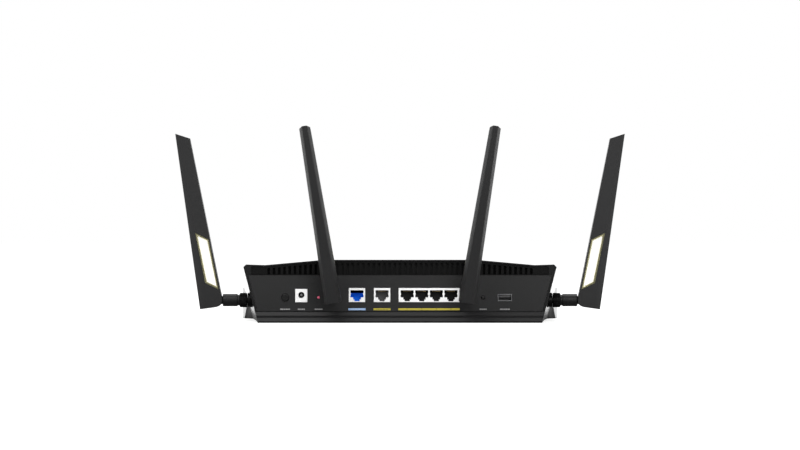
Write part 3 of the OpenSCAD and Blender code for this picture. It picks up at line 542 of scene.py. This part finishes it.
def second_finish(made, material, chosen):
    """Gives another finish to the faces that chosen(centre, normal) picks."""
    made.data.materials.append(material)
    for face in made.data.polygons:
        if chosen(face.center, face.normal):
            face.material_index = len(made.data.materials) - 1


def middle(node):
    low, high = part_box(node)
    return (low + high) / 2


def islands(form):
    """The boxes (low, high) of a form's separate solids. The form is freed."""
    left = set(form.verts)
    boxes = []
    while left:
        stack = [left.pop()]
        found = []
        while stack:
            vert = stack.pop()
            found.append(vert.co.copy())
            for edge in vert.link_edges:
                other = edge.other_vert(vert)
                if other in left:
                    left.remove(other)
                    stack.append(other)
        boxes.append((
            Vector([min(c[i] for c in found) for i in range(3)]),
            Vector([max(c[i] for c in found) for i in range(3)]),
        ))
    form.free()
    return sorted(boxes, key=lambda b: (round(b[0].x, 5), round(b[0].y, 5)))


def lathe(profile, sides):
    """A closed form turned round +X from points (along, radius)."""
    form = bmesh.new()
    rings = []
    for along, radius in profile:
        if radius < 1e-9:
            rings.append([form.verts.new((along, 0, 0))])
            continue
        rings.append([
            form.verts.new((
                along, radius * math.cos(turn), radius * math.sin(turn)
            ))
            for turn in (2 * math.pi * i / sides for i in range(sides))
        ])
    for first, second in zip(rings, rings[1:] + rings[:1]):
        if len(first) == 1 and len(second) == 1:
            continue
        for i in range(sides):
            corners = [
                first[i % len(first)], second[i % len(second)],
                second[(i + 1) % len(second)], first[(i + 1) % len(first)],
            ]
            corners = list(dict.fromkeys(corners))
            if len(corners) > 2:
                form.faces.new(corners)
    bmesh.ops.recalc_face_normals(form, faces=form.faces)
    return form


def bar_form(chamfer):
    """A bar of unit size with a chamfered outline and face, seen along Y."""
    form = bmesh.new()
    bmesh.ops.create_cube(form, size=1.0)
    upright = [e for e in form.edges if abs(e.verts[0].co.y - e.verts[1].co.y) > 0.5]
    bmesh.ops.bevel(
        form, geom=upright, offset=chamfer, segments=2, profile=0.5, affect="EDGES"
    )
    return form


def repeat_tree():
    """Geometry nodes that set a copy of a master on each point."""
    known = bpy.data.node_groups.get("Repeat on points")
    if known:
        return known
    tree = bpy.data.node_groups.new("Repeat on points", "GeometryNodeTree")
    new = tree.interface.new_socket
    new("Geometry", in_out="INPUT", socket_type="NodeSocketGeometry")
    new("Master", in_out="INPUT", socket_type="NodeSocketObject")
    new("Size", in_out="INPUT", socket_type="NodeSocketFloat")
    new("Size Spread", in_out="INPUT", socket_type="NodeSocketFloat")
    new("Seed", in_out="INPUT", socket_type="NodeSocketInt")
    new("Finish", in_out="INPUT", socket_type="NodeSocketMaterial")
    new("Geometry", in_out="OUTPUT", socket_type="NodeSocketGeometry")
    sheet = Sheet(tree)
    entry = tree.nodes.new("NodeGroupInput")
    given = {s.name: Wire(sheet, s) for s in entry.outputs if s.name}
    master = sheet.node(
        "GeometryNodeObjectInfo", None, {"Object": given["Master"], "As Instance": True},
        "Geometry",
    )
    turn, stretch = (
        sheet.node(
            "GeometryNodeInputNamedAttribute", {"data_type": "FLOAT_VECTOR"}, {"Name": name}
        )
        for name in ("turn", "stretch")
    )
    chance = sheet.node(
        "FunctionNodeRandomValue", {"data_type": "FLOAT"},
        {"Min": 0.0, "Max": 1.0, "Seed": given["Seed"]}, 1,
    )
    scale = sheet.node(
        "ShaderNodeVectorMath", {"operation": "SCALE"},
        {0: stretch, "Scale": given["Size"] * (1 - given["Size Spread"] * chance)},
    )
    copies = sheet.node(
        "GeometryNodeInstanceOnPoints", None,
        {"Points": given["Geometry"], "Instance": master, "Rotation": turn, "Scale": scale},
    )
    solid = sheet.node("GeometryNodeRealizeInstances", None, {"Geometry": copies})
    dressed = sheet.node(
        "GeometryNodeSetMaterial", None, {"Geometry": solid, "Material": given["Finish"]}
    )
    sheet.node("NodeGroupOutput", None, {"Geometry": dressed})
    return tree


def repeated(form, spots, material, spread=0.0, seed=1):
    """A mesh with a copy of the form at each spot: (place, turn, stretch)."""
    shape = bpy.data.meshes.new("master")
    form.to_mesh(shape)
    form.free()
    master = linked("master", shape)
    points = bpy.data.meshes.new("points")
    points.from_pydata([s[0] for s in spots], [], [])
    for i, name in ((1, "turn"), (2, "stretch")):
        layer = points.attributes.new(name, "FLOAT_VECTOR", "POINT")
        layer.data.foreach_set("vector", [v for s in spots for v in s[i]])
    carrier = linked("carrier", points)
    modifier = carrier.modifiers.new("Repeat", "NODES")
    tree = repeat_tree()
    modifier.node_group = tree
    values = {
        "Master": master, "Size": 1.0, "Size Spread": spread, "Seed": seed,
        "Finish": material,
    }
    for item in tree.interface.items_tree:
        if item.in_out == "INPUT" and item.name in values:
            modifier[item.identifier] = values[item.name]
    mesh = applied(carrier)
    bpy.data.objects.remove(master)
    return mesh


def joined(meshes):
    """One mesh from several."""
    form = bmesh.new()
    for mesh in meshes:
        form.from_mesh(mesh)
    made = bpy.data.meshes.new("joined")
    form.to_mesh(made)
    form.free()
    return made


# Operators


class RouterOperator:
    """What every operator of the router shares."""

    bl_options = {"REGISTER", "UNDO"}

    def execute(self, context):
        self.make(context)
        return {"FINISHED"}


class ROUTER_OT_stage(RouterOperator, bpy.types.Operator):
    """Lays the floor and sets the studio light and the camera"""

    bl_idname = "router.stage"
    bl_label = "Studio stage"

    reach = 14.0
    distance = 3.4
    eye_height = 0.0939
    lens = 159.8
    # Name, place, width and power of each light, and what they all point at
    lights = (
        ("key light", (-0.9, -1.8, 2.3), 1.8, 56.0),
        ("front light", (0.6, -3.2, 1.1), 1.4, 38.0),
        ("side light", (2.2, -1.0, 0.7), 1.2, 9.0),
        ("top light", (0.2, 0.4, 2.5), 1.4, 30.0),
    )
    target = (0, 0, 0.06)
    # The floor shines back beside and behind this (x, y), fully after the fade
    shadowed = (0.17, 0.05)
    fade = 0.14
    shine = 2.6

    def make(self, context):
        scene = context.scene
        scene.view_settings.view_transform = "Standard"
        self.floor()
        self.sky(scene)
        for light in self.lights:
            self.light(*light)
        camera = bpy.data.cameras.new("camera")
        camera.lens = self.lens
        camera.sensor_width = 36.0
        camera.clip_start, camera.clip_end = 0.05, 100.0
        eye = linked("camera", camera)
        eye.location = (0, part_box("rear_panel")[0].y - self.distance, self.eye_height)
        eye.rotation_euler = (math.pi / 2, 0, 0)
        scene.camera = eye

    def floor(self):
        mesh = bpy.data.meshes.new("floor")
        r = self.reach
        mesh.from_pydata([(-r, -r, 0), (r, -r, 0), (r, r, 0), (-r, r, 0)], [], [(0, 1, 2, 3)])
        material = bpy.data.materials.new("pale floor")
        material.use_nodes = True
        material.node_tree.nodes.clear()
        sheet = Sheet(material.node_tree)
        place = sheet.node("ShaderNodeTexCoord", output="Object")
        paper = sheet.mix(sheet.spots(place, 0.4), (0.34, 0.34, 0.34), (0.38, 0.38, 0.38))
        matt = sheet.node("ShaderNodeBsdfDiffuse", None, {"Color": paper})
        seen = sheet.node("ShaderNodeLightPath", output="Is Camera Ray")
        mirrored = sheet.node("ShaderNodeLightPath", output="Is Glossy Ray")
        across, ahead = (
            sheet.node("ShaderNodeSeparateXYZ", None, {"Vector": place}, axis)
            for axis in ("X", "Y")
        )
        aside = sheet.node("ShaderNodeMath", {"operation": "ABSOLUTE"}, {0: across})
        away = sheet.node(
            "ShaderNodeMath", {"operation": "MAXIMUM"},
            {0: ahead - self.shadowed[1], 1: aside - self.shadowed[0]},
        )
        beyond = sheet.node(
            "ShaderNodeMapRange", {"interpolation_type": "SMOOTHSTEP"},
            {"Value": away, "From Max": self.fade, "To Max": self.shine},
        )
        glow = sheet.node(
            "ShaderNodeEmission", None,
            {"Color": (1, 1, 1, 1), "Strength": seen * 0.8 + mirrored * beyond},
        )
        surface = sheet.node("ShaderNodeAddShader", None, {0: matt, 1: glow})
        sheet.node("ShaderNodeOutputMaterial", None, {"Surface": surface})
        mesh.materials.append(material)
        linked("floor", mesh)

    def sky(self, scene):
        """A pale room, brighter behind the router than in front of it."""
        world = bpy.data.worlds.new("studio")
        world.use_nodes = True
        world.node_tree.nodes.clear()
        sheet = Sheet(world.node_tree)
        way = sheet.node("ShaderNodeTexCoord", output="Generated")
        ahead = sheet.node("ShaderNodeSeparateXYZ", None, {"Vector": way}, "Y")
        tone = sheet.node(
            "ShaderNodeValToRGB",
            {"stops": [(0.45, (0.46,) * 3), (0.65, (0.8,) * 3), (1.0, (1.9,) * 3)]},
            {"Fac": ahead * 0.5 + 0.5},
        )
        room = sheet.node("ShaderNodeBackground", None, {"Color": tone, "Strength": 1.0})
        white = sheet.node(
            "ShaderNodeBackground", None, {"Color": (1, 1, 1, 1), "Strength": 1.0}
        )
        seen = sheet.node("ShaderNodeLightPath", output="Is Camera Ray")
        surface = sheet.node("ShaderNodeMixShader", None, {0: seen, 1: room, 2: white})
        sheet.node("ShaderNodeOutputWorld", None, {"Surface": surface})
        scene.world = world

    def light(self, name, place, width, power):
        lamp = bpy.data.lights.new(name, "AREA")
        lamp.shape = "DISK"
        lamp.size = width
        lamp.energy = power
        made = linked(name, lamp)
        made.location = place
        aim = Vector(self.target) - Vector(place)
        made.rotation_euler = aim.to_track_quat("-Z", "Y").to_euler()
        made.visible_camera = False


class ROUTER_OT_case(RouterOperator, bpy.types.Operator):
    """Builds the cover and the base with rounded edges, finishes the socket panel and sets the
    sheets behind the vents
    """

    bl_idname = "router.case"
    bl_label = "Case"

    # Half the width of the middle backing, and how far out the black sheets of painted shade at the
    # sides reach
    backed = 0.0765
    shade_reach = 0.135
    # Where the roof starts and stops falling, and by how much
    roof_slope = (0.072, 0.129, 0.0051)
    # Depth behind the rear face that counts as its skin, and the vents' depth
    skin = 0.4 * MM
    vent_depth = 4.5 * MM
    # Room above the backing, its place behind the rear face and its thickness
    head = 3.4 * MM
    backing_in = 4.8 * MM
    backing_t = 0.8 * MM

    def make(self, context):
        edge, grain = sizes().shell_edge, sizes().grain
        cover = shell("top_cover", edge)
        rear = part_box("rear_panel")[0].y
        skin = rear + self.skin
        deepest = rear + self.vent_depth
        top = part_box("rear_panel")[1].z - 0.5 * MM
        # The vent band's faces get the dark vent colour, a painted shade for the shade under the
        # roof's lip
        second_finish(
            cover, moulded("vent plastic", colours().vent, 0.55, grain, gloss=0.085),
            lambda c, n: skin < c.y < deepest and c.z > top and n.z < 0.7,
        )
        second_finish(
            cover, moulded("cover rear plastic", colours().panel, 0.55, grain, gloss=0.12),
            lambda c, n: n.y < -0.9 and c.y < skin,
        )
        shell("bottom_case", edge * 0.4)
        dressed("rear_panel")
        self.backing(rear, top)

    def backing(self, rear, low):
        """The sheets behind the vent slots: a dark backing in the middle, and black sheets at the
        sides that paint the shade inside the case.
        """
        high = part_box("top_cover")[1].z - self.head
        start, end, fall = self.roof_slope
        drop = fall * (self.backed - start) / (end - start)
        sheets = {
            "vent_backing": (7.0, [
                (-self.backed, low), (self.backed, low), (self.backed, high - drop),
                (start, high), (-start, high), (-self.backed, high - drop),
            ]),
        }
        # The black sheets at the sides are painted shade for the dark inside of the case behind the
        # open slots
        for side, name in ((-1, "left"), (1, "right")):
            sheets[name + "_vent_lining"] = (0.2, [
                (side * self.backed, low), (side * self.shade_reach, low),
                (side * self.shade_reach, high - fall), (side * end, high - fall),
                (side * self.backed, high - drop),
            ])
        for name, (tone, outline) in sheets.items():
            backing_and_shade_finish = moulded(
                name.replace("_", " "), shaded(colours().vent, tone), 0.8, sizes().grain,
                gloss=0.1,
            )
            piece(name, self.sheet(outline, rear + self.backing_in), "case", backing_and_shade_finish)

    def sheet(self, outline, front):
        """An upright sheet with that outline of (x, z), from front inwards."""
        form = bmesh.new()
        faces = [
            form.faces.new([form.verts.new((x, y, z)) for x, z in outline])
            for y in (front, front + self.backing_t)
        ]
        rings = [list(face.verts) for face in faces]
        for i in range(len(outline)):
            j = (i + 1) % len(outline)
            form.faces.new((rings[0][i], rings[0][j], rings[1][j], rings[1][i]))
        bmesh.ops.recalc_face_normals(form, faces=form.faces)
        mesh = bpy.data.meshes.new("sheet")
        form.to_mesh(mesh)
        form.free()
        return mesh


class ROUTER_OT_fasteners(RouterOperator, bpy.types.Operator):
    """Sets the case screws, board screws and rubber feet"""

    bl_idname = "router.fasteners"
    bl_label = "Feet and screws"

    def make(self, context):
        self.screws("case_screws", 1)
        self.screws("board_screws", -1)
        finished("rubber_feet", sizes().fine_edge * 2, 3)

    def screws(self, node, up):
        """Round-headed screws where the CAD's stand; up is the way they point."""
        parts = islands(whole(node))
        low, high = parts[0]
        radius = (high.x - low.x) / 2
        length = high.z - low.z
        turn = (0, 0 if up > 0 else math.pi, 0.4)
        spots = []
        for low, high in parts:
            foot = (low + high) / 2
            foot.z = low.z if up > 0 else high.z
            spots.append((foot, turn, (1, 1, 1)))
        mesh = repeated(self.screw(radius, length), spots, finish_of(SLOT_OF[node]))
        mesh.shade_smooth()
        mesh.set_sharp_from_angle(angle=math.radians(35))
        piece(node + "_piece", mesh, "case", None, [node])

    def screw(self, radius, length):
        head = radius * 0.72
        shank = radius * 0.5
        form = lathe([
            (0.0, 0.0), (0.0, radius * 0.8), (radius * 0.16, radius),
            (head, radius), (head, shank), (length - shank, shank), (length, shank * 0.3),
            (length, 0.0),
        ], 24)
        bmesh.ops.transform(
            form, matrix=Matrix.Rotation(-math.pi / 2, 4, "Y"), verts=form.verts
        )
        return form


class ROUTER_OT_sockets(RouterOperator, bpy.types.Operator):
    """Builds the network, power and USB sockets with their contacts"""

    bl_idname = "router.sockets"
    bl_label = "Sockets"

    # Radius of the inlet's bore, painted black as shade, as a share of its width
    shaded_bore_share = 0.24
    # Depth of the edge of the inlet and the shell that keeps its own finish in front of the painted
    # shade, and of the shell's mouth
    lip = 0.3 * MM
    usb_rim = 0.2 * MM

    def make(self, context):
        fine = sizes().fine_edge
        for kind in SOCKET_KINDS:
            finished(kind + "_jack_shell", fine)
            finished(kind + "_jack_insert", fine * 0.8)
        self.inlet(finished("power_inlet", fine * 1.4, 3))
        finished("power_inlet_pin", fine * 2, 3)
        self.painted_shell_shade(finished("usb_shell", fine * 0.6))
        finished("usb_tongue", fine * 0.6)
        self.contacts()

    def inlet(self, made):
        """Paints the bore of the power inlet black: painted shade in its hollow."""
        axis = middle("power_inlet_pin")
        low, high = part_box("power_inlet")
        reach = (high.x - low.x) * self.shaded_bore_share
        mouth = low.y + self.lip
        second_finish(
            made, finish_of("socket_black"),
            lambda c, n: c.y > mouth and math.hypot(c.x - axis.x, c.z - axis.z) < reach,
        )

    def painted_shell_shade(self, made):
        """Paints the inside of the USB socket's shell black: painted shade in its hollow."""
        low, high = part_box("usb_shell")
        centre = middle("usb_shell")
        reach = (high - low) / 2 - Vector((1, 1, 1)) * self.lip
        second_finish(
            made, finish_of("socket_black"),
            lambda c, n: c.y > low.y + self.usb_rim
            and abs(c.x - centre.x) < reach.x and abs(c.z - centre.z) < reach.z,
        )

    def contacts(self):
        """Sprung wires where the CAD's contacts lie, each with a bent tip."""
        parts = islands(whole("jack_contacts"))
        spots = [
            (Vector(((low.x + high.x) / 2, high.y, high.z)), (0, 0, 0), (1, 1, 1))
            for low, high in parts
        ]
        low, high = parts[0]
        mesh = repeated(self.wire(*(high - low)), spots, finish_of("contact_gold"))
        piece("jack_contacts_piece", mesh, "case", None, ["jack_contacts"])

    def wire(self, width, length, drop):
        """A flat wire that slopes down and turns up at its tip."""
        path = [(0.0, 0.0), (-0.35, -0.34), (-0.8, -0.86), (-0.93, -0.96), (-1.0, -0.9)]
        thick = width * 0.6
        form = bmesh.new()
        rings = []
        for y, z in path:
            y, z = y * length, z * (drop - thick)
            rings.append([
                form.verts.new((x * width / 2, y, z - down * thick))
                for x, down in ((-1, 0), (1, 0), (1, 1), (-1, 1))
            ])
        for first, second in zip(rings, rings[1:]):
            for i in range(4):
                j = (i + 1) % 4
                form.faces.new((first[i], first[j], second[j], second[i]))
        form.faces.new(rings[0])
        form.faces.new(rings[-1])
        bmesh.ops.recalc_face_normals(form, faces=form.faces)
        return form


class ROUTER_OT_buttons(RouterOperator, bpy.types.Operator):
    """Builds the push buttons, each on its own sliding body"""

    bl_idname = "router.buttons"
    bl_label = "Buttons"

    def make(self, context):
        for name in ("power", "reset", "sync", "wifi", "light"):
            node = name + "_button"
            finished(node, sizes().fine_edge * 2, 3)


class ROUTER_OT_prints(RouterOperator, bpy.types.Operator):
    """Prints the coloured bars, plain marks and socket numbers on the panel"""

    bl_idname = "router.prints"
    bl_label = "Printed marks"

    # Height of the bars' middle, and how far they pass each side of a socket
    bar_z = 0.01326
    margin = 0.3 * MM
    # Width of the mark under each of these, in millimetres
    mark_widths = {
        "power_button": 9.3, "power_inlet": 6.6, "reset_button": 7.5,
        "sync_button": 6.8, "usb_shell": 9.4,
    }
    bar_mark_width = 12 * MM
    # Heights of the marks, the marks on bars and the numbers as shares of a bar's
    mark_share = 0.62
    bar_mark_share = 0.42
    number_share = 1.25

    def make(self, context):
        self.face_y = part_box("rear_panel")[0].y
        self.depth = sizes().print_thickness
        tall = sizes().print_height
        tints = colours()
        wan, fast, lan = (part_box(kind + "_jack_shell") for kind in SOCKET_KINDS)
        self.marks("blue_bar", tints.bar_blue, [self.under(wan, tall)])
        self.marks("yellow_bars", tints.bar_yellow, [self.under(b, tall) for b in (fast, lan)])
        small = []
        for node, width in self.mark_widths.items():
            small += self.dashes(middle(node).x, width * MM, tall * self.mark_share)
        self.marks("small_marks", tints.ink, small)
        for name, (low, high), tint in (
            ("blue_bar_marks", wan, (0.42, 0.55, 0.75)),
            ("yellow_bar_marks", fast, (0.22, 0.20, 0.03)),
        ):
            dashes = self.dashes(
                (low.x + high.x) / 2, self.bar_mark_width, tall * self.bar_mark_share, self.depth
            )
            self.marks(name, tint, dashes)
        self.numbers(tall)

    def under(self, box, tall):
        low, high = box
        width = high.x - low.x + 2 * self.margin
        return ((low.x + high.x) / 2, self.bar_z, width, tall, 0.0)

    def dashes(self, x, width, tall, lift=0.0):
        """A short row of plain strokes of uneven length."""
        shares = (0.30, 0.16, 0.24, 0.18)
        gap = width * (1 - sum(shares)) / (len(shares) - 1)
        left, made = x - width / 2, []
        for share in shares:
            made.append((left + share * width / 2, self.bar_z, share * width, tall, lift))
            left += share * width + gap
        return made

    def marks(self, name, tint, rows):
        spots = [
            (
                (x, self.face_y - lift - self.depth / 2, z), (0, 0, 0),
                (width, self.depth, tall),
            )
            for x, z, width, tall, lift in rows
        ]
        ink = inked(name.replace("_", " "), tint)
        mesh = repeated(bar_form(0.04), spots, ink)
        piece(name, mesh, "case", None)

    def numbers(self, tall):
        """A number on the bar under each of the ganged sockets."""
        meshes = []
        plugs = sorted(
            (o["box_m"][0][0] + o["box_m"][1][0]) / 2
            for o in frame["record"]["physics"]["openings"]
            if o["name"].startswith("lan_plug")
        )
        for i, x in enumerate(plugs):
            text = bpy.data.curves.new("number", "FONT")
            text.body = str(i + 1)
            text.size = tall * self.number_share
            text.extrude = self.depth / 2
            text.align_x, text.align_y = "CENTER", "CENTER"
            mesh = applied(linked("number", text))
            mesh.transform(
                Matrix.Translation((x, self.face_y - self.depth * 1.4, self.bar_z))
                @ Matrix.Rotation(math.pi / 2, 4, "X")
            )
            meshes.append(mesh)
        ink = inked("number ink", shaded(colours().panel, 2.5))
        piece("socket_numbers", joined(meshes), "case", ink)


class ROUTER_OT_antennas(RouterOperator, bpy.types.Operator):
    """Builds the four antennas: sockets, nuts, barrels, blades and trims"""

    bl_idname = "router.antennas"
    bl_label = "Antennas"

    def make(self, context):
        finished("antenna_sockets", sizes().fine_edge)
        for name in ANTENNAS:
            self.nut(name)
            finished(name + "_barrel", sizes().fine_edge * 1.4)
            finished(name + "_blade", sizes().blade_edge)
            finished(name + "_hinge_pin", sizes().fine_edge)
            self.trim(name)

    # A nut's bores at the case and at the barrel, the outer one's depth, and its rims
    bores = (3.2 * MM, 4.9 * MM)
    pocket = 2.0 * MM
    rim = 0.35 * MM
    # How far the ridges stand out, how far they reach in, and the plain ends
    ridge_out = 0.6 * MM
    ridge_lift = 0.05 * MM
    ridge_depth = 1.1 * MM
    plain_ends = 1.0 * MM
    # Rounding of the trim's other edges
    trim_edge = 0.12 * MM

    def nut(self, name):
        """A coupling nut with rounded rims and a ring of ridges."""
        node = name + "_nut"
        low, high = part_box(node)
        size = high - low
        length = size.x if name.endswith("side") else size.y
        root = size.z / 2 - self.ridge_out
        bore_in, bore_out = self.bores
        half = length / 2
        rim, pocket = self.rim, self.pocket
        core = lathe([
            (-half, bore_in), (-half, root - rim), (-half + rim, root),
            (half - rim, root), (half, root - rim), (half, bore_out),
            (half - pocket, bore_out), (half - pocket, bore_in),
        ], 72)
        body = bpy.data.meshes.new("core")
        core.to_mesh(body)
        core.free()
        count = sizes().knurl_count
        stretch = (length - self.plain_ends, self.ridge_depth, math.pi * root / count)
        spots = []
        for i in range(count):
            turn = 2 * math.pi * i / count
            place = Vector((0, math.cos(turn), math.sin(turn))) * (root + self.ridge_lift)
            spots.append((place, (turn, 0, 0), stretch))
        ridges = repeated(self.ridge(), spots, finish_of("nut_plastic"))
        mesh = joined([body, ridges])
        mesh.shade_smooth()
        mesh.set_sharp_from_angle(angle=math.radians(35))
        outward = {"left_side": math.pi, "right_side": 0.0}.get(name, -math.pi / 2)
        mesh.transform(
            Matrix.Translation(middle(node)) @ Matrix.Rotation(outward, 4, "Z")
        )
        piece(node + "_piece", mesh, "case", finish_of("nut_plastic"), [node])

    def ridge(self):
        """One rounded ridge of unit length along X and unit height along Y."""
        form = bmesh.new()
        outline = [(-0.5, -0.6), (0.34, -0.4), (0.5, 0.0), (0.34, 0.4), (-0.5, 0.6)]
        rings = [
            [form.verts.new((x, y * low, z)) for y, z in outline]
            for x, low in ((-0.5, 0.7), (-0.45, 1.0), (0.45, 1.0), (0.5, 0.7))
        ]
        for first, second in zip(rings, rings[1:]):
            for i in range(len(outline)):
                j = (i + 1) % len(outline)
                form.faces.new((first[i], second[i], second[j], first[j]))
        form.faces.new(rings[0])
        form.faces.new(rings[-1])
        bmesh.ops.recalc_face_normals(form, faces=form.faces)
        return form

    def trim(self, name):
        """The window's trim, flared towards both faces of the blade."""
        form = whole(name + "_window_trim")
        centre = sum((v.co for v in form.verts), Vector()) / len(form.verts)
        through = next(
            Vector(j["axis"]) for j in frame["record"]["behaviour"]["joints"]
            if j["name"] == name + "_blade_tilt"
        )
        form.normal_update()
        facing = [f for f in form.faces if abs(f.normal.dot(through)) > 0.9]
        inside = {
            f for f in form.faces
            if abs(f.normal.dot(through)) < 0.5
            and f.normal.dot(centre - f.calc_center_median()) > 0
        }
        mouth = {e for f in facing for e in f.edges if inside & set(e.link_faces)}
        bmesh.ops.bevel(
            form, geom=list(mouth), offset=sizes().trim_flare, segments=3, profile=0.5,
            affect="EDGES", clamp_overlap=True,
        )
        made = stand_in(name + "_window_trim", rounded(form, self.trim_edge, 1, 50.0))
        # The faces across the window get the darker olive copy of the gold as painted shade, and
        # the walls keep the gold brightened as painted reflection
        second_finish(
            made, plated("trim rim", colours().rim, 0.40, (1, 1, 0.15), 0.15),
            lambda c, n: abs(n.dot(through)) > 0.93,
        )


class ROUTER_OT_circuit(RouterOperator, bpy.types.Operator):
    """Builds the circuit board, its parts, the lights and the leads"""

    bl_idname = "router.circuit"
    bl_label = "Circuit"

    plain = (
        "heat_sink", "heat_plate", "thermal_pads", "shield_cans", "chips",
        "power_switch", "tact_switches", "status_lights", "light_guide",
        "socket_lock_nuts", "pigtail_cables",
    )
    radiators = tuple(name + "_radiator" for name in ANTENNAS)
    # The strip for small parts: half its width, and its room at the ends
    strip = 85 * MM
    clear = 6 * MM

    def make(self, context):
        dressed("main_board")
        for node in self.plain + self.radiators:
            finished(node, sizes().fine_edge * 0.6, 1)
        self.parts("board_parts", "chip_epoxy", 150, (1.6, 0.9, 0.7), 3)
        self.parts("board_leads", "can_steel", 110, (0.9, 1.9, 0.5), 5)

    def parts(self, name, slot, count, size, seed):
        """Small surface-mounted parts scattered over the board's free strip."""
        board, can = (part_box(node)[1] for node in ("main_board", "shield_cans"))
        chance = np.random.RandomState(seed)
        spots = []
        for _ in range(count):
            x = chance.uniform(-self.strip, self.strip)
            y = chance.uniform(can.y + self.clear, board.y - 3 * self.clear)
            turn = math.pi / 2 * chance.randint(2)
            spots.append((
                (x, y, board.z + size[2] * MM / 2), (0, 0, turn), [s * MM for s in size]
            ))
        mesh = repeated(bar_form(0.12), spots, finish_of(slot), 0.35, seed)
        piece(name, mesh, "case", None)


OPERATORS = (
    ROUTER_OT_stage, ROUTER_OT_case, ROUTER_OT_fasteners, ROUTER_OT_sockets,
    ROUTER_OT_buttons, ROUTER_OT_prints, ROUTER_OT_antennas, ROUTER_OT_circuit,
)


class ROUTER_PT_panel(bpy.types.Panel):
    """Lists the router's sizes, colours and building steps"""

    bl_idname = "ROUTER_PT_panel"
    bl_label = "Wireless router"
    bl_space_type = "VIEW_3D"
    bl_region_type = "UI"
    bl_category = "Router"

    def draw(self, context):
        for group in (context.scene.router_sizes, context.scene.router_colours):
            box = self.layout.box()
            for name in group.__annotations__:
                box.prop(group, name)
        for operator in OPERATORS:
            self.layout.operator(operator.bl_idname)


CLASSES = (RouterSizes, RouterColours, *OPERATORS, ROUTER_PT_panel)


def register():
    for kind in CLASSES:
        bpy.utils.register_class(kind)
    bpy.types.Scene.router_sizes = PointerProperty(type=RouterSizes)
    bpy.types.Scene.router_colours = PointerProperty(type=RouterColours)


def unregister():
    del bpy.types.Scene.router_colours
    del bpy.types.Scene.router_sizes
    for kind in reversed(CLASSES):
        bpy.utils.unregister_class(kind)


def main():
    register()
    for operator in OPERATORS:
        group, name = operator.bl_idname.split(".")
        getattr(getattr(bpy.ops, group), name)()


if __name__ == "__main__":
    main()
